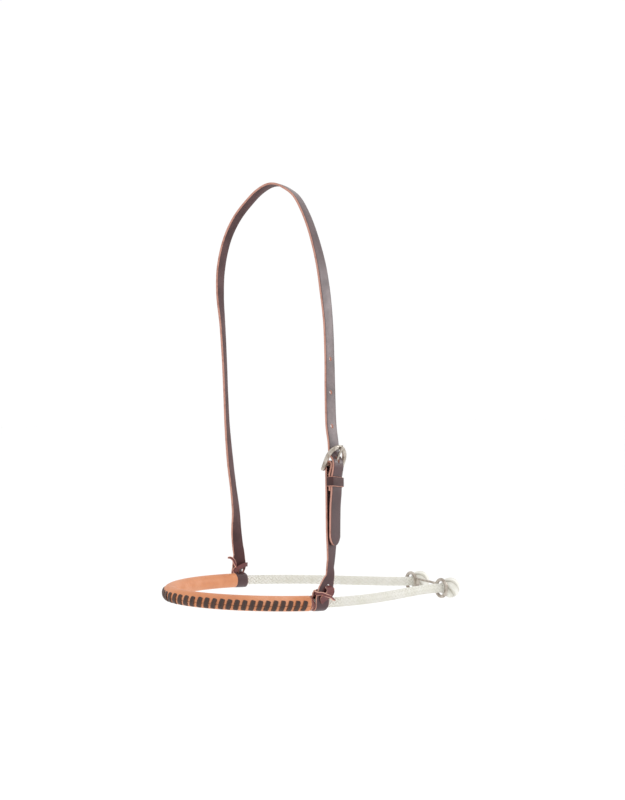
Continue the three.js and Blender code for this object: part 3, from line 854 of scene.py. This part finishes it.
# ---- Nose cover ----
LACE_PITCH = (2 * COVER_END - 0.006) / LACE_BARS
LACE_SLANT = 0.0026  # how much further back a bar's top is than its foot, on the near side
COVER_STEP = 0.0009


def lace_centre(index):
    return (index + 0.5 - LACE_BARS / 2) * LACE_PITCH


def cover_radius(distance, angle):
    """The cover swells between the bars of the lace and is drawn in under them."""
    from_seam = (math.degrees(angle) - SEAM_ANGLE) / LACE_REACH
    slant = from_seam * LACE_SLANT / 2
    phase = (distance + slant - lace_centre(0)) / LACE_PITCH
    under = 0.5 + 0.5 * math.cos(2 * math.pi * phase)
    laced = max(0.0, 1 - (from_seam / 1.25) ** 4) if abs(from_seam) < 1.25 else 0.0
    inside = abs(distance) < COVER_END - 0.003
    return COVER_OUTER_RADIUS - 0.00035 * under * laced * inside


def make_cover():
    """The leather tube, with its two edges meeting under the lace."""
    corners = 44
    half_gap = COVER_SEAM / 2 / COVER_OUTER_RADIUS
    seam = math.radians(SEAM_ANGLE)
    count = round((COVER_END + BINDING_OUTER) / COVER_STEP)
    rings = []
    for i in range(count + 1):
        distance = -COVER_END + (COVER_END + BINDING_OUTER) * i / count
        point, out, up = rope_frame(distance)
        ring = []
        for j in range(corners + 1):
            angle = seam + half_gap + (2 * math.pi - 2 * half_gap) * j / corners
            turned = (math.degrees(angle) + 180) % 360 - 180
            radius = cover_radius(distance, math.radians(turned))
            edge = min(j, corners - j)
            radius -= 0.00035 * math.exp(-edge * 0.9)
            ring.append((radius, angle))
        for j in range(corners, -1, -1):
            angle = seam + half_gap + (2 * math.pi - 2 * half_gap) * j / corners
            ring.append((COVER_INNER_RADIUS, angle))
        rings.append([point + out * (r * math.cos(a)) + up * (r * math.sin(a)) for r, a in ring])
    sides = [0] * corners + [1] + [1] * corners + [1]
    cover = skin("laced_cover", rings, [cover_leather, cover_edge], sides, angle=45)
    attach(cover, "noseband")
    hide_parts("nose_cover")


def lace_bar(index):
    """One visible bar of the lace, which dives into a slit in the cover at each end."""
    middle = lace_centre(index) + random.uniform(-0.00018, 0.00018)
    reach = LACE_REACH * random.uniform(0.96, 1.04)
    slant = LACE_SLANT * random.uniform(0.85, 1.15)
    width = LACE_WIDTH * random.uniform(0.95, 1.04)
    stations, widths = [], []
    for i in range(15):
        share = i / 7 - 1
        angle = math.radians(SEAM_ANGLE - share * reach)
        sink = 0.0014 * abs(share) ** 9
        radius = COVER_OUTER_RADIUS + 0.00045 - sink
        distance = middle + share * slant / 2
        narrow = 1 - 0.16 * abs(share) ** 6
        point, out, up = rope_frame(distance)
        away = out * math.cos(angle) + up * math.sin(angle)
        stations.append((point + away * radius, away))
        widths.append(width * narrow)
    rings = rings_facing(stations, lambda i: oval(widths[i] / 2, LACE_THICKNESS / 2, 14, 3.4))
    return skin("bar", rings, [black_lace], angle=60)


def lace_run():
    """The lace under the cover's edges, seen as a dark line in the seam."""
    rings = []
    count = 200
    for i in range(count + 1):
        distance = (LACE_BARS * LACE_PITCH / 2) * (2 * i / count - 1)
        point, out, up = rope_frame(distance)
        angle = math.radians(SEAM_ANGLE)
        away = out * math.cos(angle) + up * math.sin(angle)
        over = up * math.cos(angle) - out * math.sin(angle)
        middle = point + away * (COVER_INNER_RADIUS + 0.0006)
        rings.append([middle + over * x + away * y for x, y in oval(0.0022, 0.0004, 8)])
    return skin("run", rings, [black_lace], angle=60)


def make_lacing():
    lacing = merge("whipped_lace", *(lace_bar(i) for i in range(LACE_BARS)), lace_run())
    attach(lacing, "noseband")
    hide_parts("cover_lacing")


def make_binding():
    """Two turns of thin lace round the cover's near end."""
    turns = 2.15
    width = 0.0019
    start = -(BINDING_OUTER - BINDING_LENGTH + width / 2)
    end = -(BINDING_OUTER - width / 2)
    stations = []
    count = 52
    for i in range(count + 1):
        share = i / count
        angle = 2 * math.pi * turns * share - 0.6
        lift = 0.0002 * math.sin(9 * angle)
        distance = start + (end - start) * share
        point, out, up = rope_frame(distance)
        away = out * math.cos(angle) + up * math.sin(angle)
        ends = 0.0010 * max(0, abs(2 * share - 1) - 0.94) / 0.06
        stations.append((point + away * (COVER_INNER_RADIUS + 0.00105 + lift * 0.3 - ends), away))
    rings = rings_facing(stations, lambda _: lace_section(width, 0.0014))
    binding = skin("near_binding", rings, RED_LACE, strap_sides(GRAIN, FLESH), angle=50)
    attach(binding, "noseband")
    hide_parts("near_cover_binding")


# ---- Straps ----
WRAP_RADIUS = ROPE_RADIUS + 2 * GAP + STRAP_THICKNESS / 2
NECK_HEIGHT = 0.029
LACE_HEIGHT = 0.0096
LACE_HOLE_HALF_SPACING = 0.0032
TIE_HOLE_HEIGHT = 0.0164
SPARE_HOLES = [
    (0.0189, -0.0686, 0.165, 23), (0.0224, -0.0608, 0.197, 24), (0.02495, -0.0556, 0.229, 27),
]


def wrap_stations(side, neck_width, neck_back, turned):
    """
    A cheek's end: down outside the rope, under it and up again inside. Its neck has a width and
    lies back from the tie. turned gives the middle and the width of the part round the rope, for
    each share of the way.
    """
    outer = side * (TIE_HALF_WIDTH + WRAP_RADIUS)
    inner = outer - side * (STRAP_THICKNESS + GAP)
    first, wide = turned(0)
    stations = [
        noseband_station(neck_back, outer + side * 0.00055, NECK_HEIGHT - 0.0024, neck_width),
        noseband_station(neck_back * 0.65, outer + side * 0.0003, 0.021, (neck_width + STRAP_WIDTH) / 2),
        noseband_station(neck_back * 0.2, outer, 0.0135, STRAP_WIDTH),
        noseband_station(first, outer, 0.006, wide),
    ]
    for angle in range(0, -241, -30):
        turn = math.radians(angle)
        y = side * (TIE_HALF_WIDTH + WRAP_RADIUS * math.cos(turn))
        middle, wide = turned(-angle / 300)
        stations.append(noseband_station(middle, y, WRAP_RADIUS * math.sin(turn), wide))
    for share, y, z, narrower in (
        (0.9, inner - side * 0.0012, 0.0074, 0),
        (0.95, inner - side * 0.0001, 0.0104, 0),
        (1, inner, 0.0132, 0.004),
    ):
        middle, wide = turned(share)
        stations.append(noseband_station(middle, y, z, wide - narrower))
    return stations


def near_turn(share):
    """The near strap's end narrows from its back edge and leans forward as it goes round."""
    return -0.0020 - 0.0032 * share, WRAP_WIDTH + 0.0006 - 0.0036 * math.sin(math.pi * share)


def far_turn(share):
    return -WRAP_SHIFT - 0.0006, WRAP_WIDTH - 0.0004 * share


def tie_holes(side):
    """Cutters for the two lace holes and, on the near side, the slit above them."""
    reach = 0.012
    y = side * (TIE_HALF_WIDTH + WRAP_RADIUS)
    cutters = []
    for x in (-LACE_HOLE_HALF_SPACING, LACE_HOLE_HALF_SPACING):
        ends = [noseband_place @ Vector((x, y + step, LACE_HEIGHT)) for step in (-reach, reach)]
        cutters.append(rod(*ends, 0.0018))
    if side < 0:
        lean = math.radians(22)
        rings = []
        for step in (-reach, reach):
            ring = []
            for a, b in oval(0.0029, 0.0017, 20):
                x = 0.0024 + a * math.cos(lean) - b * math.sin(lean)
                z = TIE_HOLE_HEIGHT + a * math.sin(lean) + b * math.cos(lean)
                ring.append(noseband_place @ Vector((x, y + step, z)))
            rings.append(ring)
        cutters.append(skin("cutter", rings, []))
    return cutters


def hole_through(middle, out, radius):
    return rod(middle - out * 0.008, middle + out * 0.008, radius)


def tongue_hole():
    """The hole that the tongue is through, cut along the tongue."""
    middle = on_cheek(0, 0.0050, 0.0046)
    way = (cheek_out + cheek_up * 2).normalized()
    side = cheek_across
    other = way.cross(side)
    section = oval(0.0021, 0.0030, 20)
    rings = [[middle + way * step + side * x + other * y for x, y in section] for step in (-0.005, 0.005)]
    return skin("cutter", rings, [])


def arch_station(reach, drop):
    across = heading(CROWN_TURN)
    middle = Vector((0, 0, STRAP_THICKNESS / 2 - drop)) + heading(CROWN_TURN - 90) * reach
    return middle, STRAP_WIDTH, across


# The crown strap's stations. The billet's hold (out, up, width) from the heel bar, from its tip to
# above the buckle. The sides' hold (x, y, height, heading). The arch's hold (reach, drop).
BILLET = [
    (0.0004, -0.0752, 0.0030), (0.00043, -0.0746, 0.0062), (0.0005, -0.0732, 0.0096),
    (0.0006, -0.0708, 0.0132), (0.0008, -0.0670), (0.0011, -0.0540), (0.0017, -0.0380),
    (BILLET_OUT, -0.0240), (BILLET_OUT, -0.0135), (BILLET_OUT + 0.0004, -0.0109), (0.0041, -0.0091),
    (0.0044, -0.0073), (0.0049, -0.0052), (0.0054, -0.0026), (0.0055, 0), (0.0053, 0.0026),
    (0.0042, 0.0054), (0.0024, 0.0080), (0.0011, 0.0104), (0.0006, 0.0130), (0.0004, 0.0165),
    (0, 0.0220),
]
NEAR_SIDE = [
    (0.0261, -0.0510, 0.265, 27), (0.0242, -0.0482, 0.295, 23), (0.0214, -0.0448, 0.322, 26),
    (0.0169, -0.0385, 0.350, 31), (0.0131, -0.0306, 0.3705, 33),
]
ARCH = [
    (0.0244, 0.0129), (0.0154, 0.0056), (0.0045, 0.00045), (-0.0045, 0.00045), (-0.0154, 0.0056),
    (-0.0244, 0.0129),
]
FAR_SIDE = [
    (-0.0298, 0.0306, 0.3705, 36), (-0.0370, 0.0385, 0.350, 38), (-0.0410, 0.0448, 0.322, 37),
    (-0.0405, 0.0482, 0.295, 40), (-0.0366, 0.0510, 0.265, 48), (-0.0322, 0.0554, 0.230, 51),
    (-0.0278, 0.0612, 0.195, 52), (-0.0222, 0.0690, 0.160, 50), (-0.0146, 0.0776, 0.124, 45),
    (-0.0086, 0.0823, 0.096, 45), (-0.0042, 0.0854, 0.072, 38), (-0.0024, 0.0876, 0.050, 25),
]


def make_crown_strap():
    """The long strap: billet tip, through the buckle, over the poll and down to the far tie."""
    stations = [
        *(cheek_station(*row) for row in BILLET),
        *(strap_station(*row) for row in SPARE_HOLES + NEAR_SIDE),
        *(arch_station(*row) for row in ARCH),
        *(strap_station(*row) for row in FAR_SIDE),
        strap_station(-0.0006, 0.0880, 0.0345, 14, STRAP_WIDTH - 0.0016),
        *wrap_stations(1, STRAP_WIDTH - 0.003, -0.0004, far_turn),
    ]
    piece = strap("crown_leather", stations, LATIGO, grain_first=False)
    cutters = [tongue_hole(), *tie_holes(1)]
    for x, y, z, turn in SPARE_HOLES:
        cutters.append(hole_through(Vector((x, y, z)) + crown_offset, heading(turn - 90), HOLE_RADIUS))
    punch(piece, cutters)
    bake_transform(piece)
    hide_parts("crown_strap", "far_rope_wrap")


def make_cheek_strap():
    """The near cheek: folded over the heel bar, down the cheek and round the rope."""
    stations = [
        cheek_station(SHORT_OUT, -0.0245),
        cheek_station(SHORT_OUT, -0.0120),
        cheek_station(SHORT_OUT, -0.0092),
        cheek_station(0.0012, -0.0074),
        cheek_station(0.0020, -0.0054),
        cheek_station(0.0028, -0.0026),
    ]
    for angle in range(0, 181, 30):
        turn = math.radians(angle)
        stations.append(cheek_station(FOLD_RADIUS * math.cos(turn), FOLD_RADIUS * math.sin(turn)))
    stations += [
        cheek_station(-FOLD_RADIUS, -0.003),
        cheek_station(-FOLD_RADIUS, -0.012),
        cheek_station(-FOLD_RADIUS, -0.040),
        cheek_station(-FOLD_RADIUS, -0.060),
        cheek_station(-FOLD_RADIUS, -0.070, 0.0152),
        strap_station(0.0089, -0.0856, 0.051, 22, 0.0130),
        strap_station(0.0076, -0.0870, 0.041, 20, 0.0106),
        strap_station(0.0061, -0.0880, 0.0338, 15, 0.0094),
        *wrap_stations(-1, 0.0094, 0.0049, near_turn),
    ]
    piece = strap("cheek_leather", stations, LATIGO, grain_first=True)
    section = [(-0.0024, -0.0055), (0.0024, -0.0055), (0.0024, 0.0085), (-0.0024, 0.0085)]
    rings = [
        [on_cheek(x, step, y) for x, y in section] for step in (-0.006, 0.010)
    ]
    punch(piece, [skin("cutter", rings, []), *tie_holes(-1)])
    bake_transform(piece)
    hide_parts("cheek_strap", "near_rope_wrap")


def make_tie(name, node, side, passes):
    """
    The knot of a cheek's end. Each pass is a strip that lies across or upright, through stations
    of (x, height, lift from the wrap's outer face, width).
    """
    face = side * (TIE_HALF_WIDTH + WRAP_RADIUS + STRAP_THICKNESS / 2)
    parts = []
    for across, thickness, points in passes:
        stations = []
        for x, z, lift, width in points:
            stations.append(noseband_station(x, face + side * lift, z, width, across))
        rings = rings_along(stations, lambda wide, _: lace_section(wide, thickness), 5)
        parts.append(skin("pass", rings, RED_LACE, strap_sides(GRAIN, FLESH), angle=50))
    tie = merge(name, *parts)
    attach(tie, "noseband")
    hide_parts(node)


UPRIGHT = (0, 0, 1)  # across a strip that runs along the rope
LEVEL = (-1, 0, 0)  # across a strip that runs down the strap


def make_near_tie():
    """The strap's point comes out of its slit and hangs down, and a lace crosses it."""
    point = [
        (0.0014, 0.0172, -0.0040, 0.0040), (0.0020, 0.0162, -0.0012, 0.0052),
        (0.0034, 0.0150, 0.0016, 0.0074), (0.0038, 0.0126, 0.0032, 0.0082),
        (0.0026, 0.0100, 0.0034, 0.0082), (0.0000, 0.0076, 0.0026, 0.0082),
        (-0.0022, 0.0054, 0.0014, 0.0082), (-0.0030, 0.0030, 0.0009, 0.0048),
        (-0.0034, 0.0004, 0.0008, 0.0008),
    ]
    lace = [
        (-0.0010, 0.0118, -0.0052, 0.0030), (-0.0070, 0.0120, -0.0044, 0.0036),
        (-0.0096, 0.0106, -0.0020, 0.0040), (-0.0086, 0.0100, 0.0010, 0.0036),
        (-0.0050, 0.0102, 0.0030, 0.0032), (-0.0012, 0.0088, 0.0052, 0.0030),
        (0.0030, 0.0074, 0.0054, 0.0028), (0.0066, 0.0050, 0.0042, 0.0026),
        (0.0094, 0.0036, 0.0034, 0.0012),
    ]
    bight = [
        (0.0032, 0.0096, -0.0040, 0.0026), (0.0038, 0.0098, 0.0006, 0.0028),
        (0.0060, 0.0106, 0.0020, 0.0030), (0.0082, 0.0120, 0.0018, 0.0032),
        (0.0090, 0.0138, 0.0002, 0.0030), (0.0078, 0.0146, -0.0014, 0.0026),
        (0.0060, 0.0140, -0.0034, 0.0022),
    ]
    make_tie("near_tie", "near_tie_lace", -1, [
        (LEVEL, 0.0014, point), (UPRIGHT, 0.0012, lace), (UPRIGHT, 0.0012, bight),
    ])


def make_far_tie():
    """The far knot, seen from inside: a turn of lace round the strap, with a stub end."""
    inside = -2 * STRAP_THICKNESS - GAP
    turn = [
        (0.0084, 0.0150, inside + 0.0036, 0.0040), (0.0080, 0.0156, inside + 0.0004, 0.0042),
        (0.0050, 0.0158, inside - 0.0014, 0.0044), (0.0004, 0.0144, inside - 0.0018, 0.0044),
        (-0.0038, 0.0122, inside - 0.0016, 0.0040), (-0.0070, 0.0088, inside - 0.0008, 0.0038),
        (-0.0080, 0.0072, inside + 0.0012, 0.0034),
    ]
    stub = [
        (-0.0150, 0.0232, inside + 0.0004, 0.0020), (-0.0120, 0.0232, inside - 0.0002, 0.0028),
        (-0.0094, 0.0214, inside - 0.0008, 0.0030), (-0.0074, 0.0180, inside - 0.0012, 0.0032),
        (-0.0058, 0.0148, inside - 0.0012, 0.0030), (-0.0044, 0.0122, inside + 0.0002, 0.0026),
    ]
    make_tie("far_tie", "far_tie_lace", 1, [
        (UPRIGHT, 0.0012, turn), (UPRIGHT, 0.0011, stub),
    ])


# ---- Buckle and keeper ----
def buckle_local(across, inwards, up):
    return heel_bar + cheek_across * across - cheek_out * inwards + cheek_up * up


def buckle_turn(across, inwards, up):
    return cheek_across * across - cheek_out * inwards + cheek_up * up


def make_frame():
    """The horseshoe: a softly rounded rim that leans out, with its heel bar between the legs."""
    tilt = math.radians(FRAME_TILT)
    arch_up = buckle_turn(0, -math.sin(tilt), math.cos(tilt))
    arch_out = buckle_turn(0, -math.cos(tilt), -math.sin(tilt))
    middle = FRAME_RADIUS - FRAME_RIM / 2
    outline = []
    for i in range(5):
        outline.append((middle, -FRAME_FOOT + (FRAME_RISE + FRAME_FOOT) * i / 5, 1, 0))
    for i in range(41):
        angle = math.pi * i / 40
        x, y = math.cos(angle), math.sin(angle)
        outline.append((middle * x, FRAME_RISE + middle * y, x, y))
    for i in range(4, -1, -1):
        outline.append((-middle, -FRAME_FOOT + (FRAME_RISE + FRAME_FOOT) * i / 5, -1, 0))
    ends = [(0, 0.55), (0.0004, 0.82), (0.0010, 0.97)]
    rings = []

    def ring(x, y, out_x, out_y, size):
        centre = heel_bar + cheek_across * x + arch_up * y
        away = cheek_across * out_x + arch_up * out_y
        section = oval(FRAME_RIM / 2 * size, FRAME_THICKNESS / 2 * size, 18, 2.5)
        rings.append([centre + away * a + arch_out * b for a, b in section])

    for drop, size in ends:
        ring(middle, -FRAME_FOOT - 0.0012 + drop, 1, 0, size)
    for x, y, out_x, out_y in outline:
        ring(x, y, out_x, out_y, 1)
    for drop, size in reversed(ends):
        ring(-middle, -FRAME_FOOT - 0.0012 + drop, -1, 0, size)
    rim = skin("rim", rings, [nickel], angle=180)
    bar_rings = []
    for i in range(25):
        share = 2 * i / 24 - 1
        radius = BAR_RADIUS + 0.0009 * abs(share) ** 10
        centre = heel_bar + cheek_across * (middle * share)
        bar_rings.append([
            centre + cheek_out * (radius * math.cos(a)) + cheek_up * (radius * math.sin(a))
            for a in (2 * math.pi * j / 16 for j in range(16))
        ])
    bar = skin("bar", bar_rings, [nickel], angle=180)
    piece = merge("horseshoe_frame", rim, bar)
    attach(piece, "buckle_frame")
    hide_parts("buckle_frame")


def make_tongue():
    """The tongue: a band bent round the heel bar, drawn out into a pin with a blunt tip."""
    points = []
    loop = FOLD_RADIUS + STRAP_THICKNESS / 2 - 0.0010
    for angle in range(-20, 281, 20):
        turn = math.radians(angle)
        points.append((-loop * math.cos(turn), -loop * math.sin(turn), 0.0032, 0.0009))
    points += [
        (-0.0036, 0.0034, 0.0030, 0.0010), (-0.0048, 0.0054, 0.0027, 0.0010),
        (-0.0066, 0.0090, 0.0025, 0.0010), (-0.0088, 0.0131, 0.0023, 0.0009),
        (-0.0104, 0.0165, 0.0021, 0.0008), (-0.0109, 0.0177, 0.0016, 0.0006),
        (-0.0111, 0.0182, 0.0008, 0.0003),
    ]
    curve = Route([buckle_local(0, inwards, up) for inwards, up, _, _ in points])
    rings = []
    for i in range(curve.spans * 4 + 1):
        t = i / (curve.spans * 4)
        index = min(int(t * curve.spans + 1e-9), curve.spans - 1)
        part = t * curve.spans - index
        wide = points[index][2] + (points[index + 1][2] - points[index][2]) * part
        deep = points[index][3] + (points[index + 1][3] - points[index][3]) * part
        along = curve.tangent(t)
        through = along.cross(cheek_across).normalized()
        centre = curve.point(t)
        rings.append([centre + cheek_across * x + through * y for x, y in oval(wide / 2, deep, 14, 2.4)])
    tongue = skin("pin_tongue", rings, [nickel], angle=180)
    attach(tongue, "buckle_tongue")
    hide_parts("buckle_tongue")


KEEPER_BEVEL = 0.0006  # of the outer face, so that both cut edges show


def make_keeper():
    """The keeper: a leather band round the folded end and the billet, held inside the fold."""
    back = -KEEPER_BACK_OUT
    front = -(BILLET_OUT + STRAP_THICKNESS / 2 + 0.0005 + KEEPER_THICKNESS / 2)
    side = STRAP_WIDTH / 2 + 0.0005 + KEEPER_THICKNESS / 2
    corner = 0.0013
    outline = []
    for x, y, start in (
        (side - corner, back - corner, 0), (-side + corner, back - corner, 90),
        (-side + corner, front + corner, 180), (side - corner, front + corner, 270),
    ):
        for i in range(7):
            angle = math.radians(start + 15 * i)
            outline.append((x + corner * math.cos(angle), y + corner * math.sin(angle), angle))
    rings = []
    middle = KEEPER_TOP - KEEPER_HEIGHT / 2
    section = lace_section(KEEPER_HEIGHT, KEEPER_THICKNESS, KEEPER_BEVEL)
    detailed = []
    for index, (x, y, angle) in enumerate(outline):
        following = outline[(index + 1) % len(outline)]
        length = math.hypot(following[0] - x, following[1] - y)
        pieces = max(1, round(length / 0.0016))
        for i in range(pieces):
            share = i / pieces
            turn = angle if pieces == 1 else math.radians(round(math.degrees(angle) / 90) * 90)
            detailed.append((
                x + (following[0] - x) * share, y + (following[1] - y) * share, turn,
            ))
    for x, y, angle in detailed:
        centre = buckle_local(x, y, middle)
        away = buckle_turn(math.cos(angle), math.sin(angle), 0)
        belly = 0.00035 * math.cos(2 * math.pi * x / (4 * side)) if y < 0 else 0
        rings.append([
            centre + cheek_up * a + away * (b + belly) for a, b in section
        ])
    keeper = skin("keeper_band", rings, KEEPER_LATIGO, strap_sides(GRAIN, FLESH), closed=True, angle=50)
    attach(keeper, "headstall")
    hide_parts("keeper")


STITCHES = 4
STITCH_UP = -0.0089
STITCH_PITCH = 0.003


def make_stitching():
    """The running stitch that closes the cheek's fold under the buckle."""
    outside = SHORT_OUT + STRAP_THICKNESS / 2 + 0.00035
    inside = -FOLD_RADIUS - STRAP_THICKNESS / 2 - 0.00035
    points = []
    for i in range(STITCHES + 1):
        across = (i - STITCHES / 2) * STITCH_PITCH
        start, end = (outside, inside) if i % 2 else (inside, outside)
        for share in (0, 0.2, 0.8, 1):
            nudge = (share - 0.5) * 0.0008
            points.append(on_cheek(across + nudge, start + (end - start) * share, STITCH_UP))
    curve = Route(points)
    rings = []
    for i in range(curve.spans * 5 + 1):
        t = i / (curve.spans * 5)
        along = curve.tangent(t)
        side = cheek_up
        other = along.cross(side).normalized()
        centre = curve.point(t)
        rings.append([centre + side * x + other * y for x, y in oval(0.00034, 0.00034, 8)])
    stitching = skin("chape_thread", rings, [thread], angle=180)
    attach(stitching, "headstall")
    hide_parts("chape_stitching")


# ---- Connector ----
SLOT_HALF_LENGTH = 0.0135
SLOT_LOW, SLOT_HIGH = -0.0024, 0.0028
BAR_LOW, BAR_HIGH = -0.0055, 0.0050


def make_connector():
    """The casting: two rounded eyes, and between them a flat bar with a slot."""
    centre_line = (EYE_RADIUS + EYE_HOLE_RADIUS) / 2
    half_wire = (EYE_RADIUS - EYE_HOLE_RADIUS) / 2
    parts = []
    for side in (-1, 1):
        rings = []
        for i in range(64):
            angle = 2 * math.pi * i / 64
            y, z = math.cos(angle), math.sin(angle)
            centre = Vector((EYE_STATION, side * EYE_SPACING / 2 + centre_line * y, centre_line * z))
            rings.append([
                noseband_place @ (centre + Vector((b, a * y, a * z)))
                for a, b in oval(half_wire, CONNECTOR_THICKNESS / 2, 16, 2.2)
            ])
        parts.append(skin("eye", rings, [nickel], closed=True, angle=180))
    reach = EYE_SPACING / 2 - EYE_HOLE_RADIUS - 0.0012
    for low, high in ((BAR_LOW, SLOT_LOW), (SLOT_HIGH, BAR_HIGH)):
        rings = []
        for i in range(31):
            y = reach * (2 * i / 30 - 1)
            rings.append([
                noseband_place @ Vector((EYE_STATION + b, y, (low + high) / 2 + a))
                for a, b in oval((high - low) / 2, CONNECTOR_THICKNESS / 2 * 0.86, 16, 4)
            ])
        parts.append(skin("rail", rings, [nickel], angle=60))
    for side in (-1, 1):
        rings = []
        for i in range(7):
            y = side * (SLOT_HALF_LENGTH + (reach - SLOT_HALF_LENGTH) * i / 6)
            pinch = 0.8 if i == 0 else 1
            rings.append([
                noseband_place @ Vector((EYE_STATION + b * pinch, y, (SLOT_LOW + SLOT_HIGH) / 2 + a))
                for a, b in oval(0.0040, CONNECTOR_THICKNESS / 2 * 0.84, 16, 5)
            ])
        parts.append(skin("web", rings, [nickel], angle=60))
    casting = merge("tie_down_connector", *parts)
    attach(casting, "connector")
    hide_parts("connector")


# ---- Stage ----
FLOOR_DROP = 0.25  # the floor lies this far below the hanging noseband


def make_stage():
    low = cad_bounds[0][2]
    mesh = bpy.data.meshes.new("floor")
    reach = 12
    height = low - FLOOR_DROP
    mesh.from_pydata(
        [(-reach, -reach, height), (reach, -reach, height), (reach, reach, height), (-reach, reach, height)],
        [], [(0, 1, 2, 3)],
    )
    finish = Finish("floor", Roughness=0.9, Specular_IOR_Level=0.1)
    cloud = finish.noise(finish.coordinates((1, 1, 1), "Object"), 2, 2)
    finish.put(finish.ramp(cloud, (0.3, 0.985), (0.7, 0.995)), "Base Color")
    mesh.materials.append(finish.material)
    floor = place("floor", mesh)


def area_light(name, spot, size, power):
    """A soft box that faces the object."""
    data = bpy.data.lights.new(name, "AREA")
    data.shape = "RECTANGLE"
    data.size, data.size_y = size
    data.energy = power
    light = place(name, data)
    light.location = spot
    light.rotation_euler = (Vector(spot) - CAMERA_AIM).to_track_quat("Z", "Y").to_euler()


def make_light():
    world = bpy.data.worlds.new("studio")
    world.use_nodes = True
    world.node_tree.nodes["Background"].inputs["Color"].default_value = (1, 1, 1, 1)
    world.node_tree.nodes["Background"].inputs["Strength"].default_value = 1.02
    bpy.context.scene.world = world
    bpy.context.scene.view_settings.view_transform = "Standard"
    area_light("top", (0.0, 0.1, 1.5), (1.6, 1.6), 3)
    area_light("key", (-1.3, -1.3, 0.7), (0.9, 1.2), 2)
    area_light("strip", (1.55, -0.4, 0.17), (1.1, 0.36), 5.5)


make_camera()
make_rope()
make_knot("near_crown_knot", "near_end_knot", -1)
make_knot("far_crown_knot", "far_end_knot", 1)
make_cover()
make_lacing()
make_binding()
make_crown_strap()
make_cheek_strap()
make_near_tie()
make_far_tie()
make_frame()
make_tongue()
make_keeper()
make_stitching()
make_connector()
make_stage()
make_light()
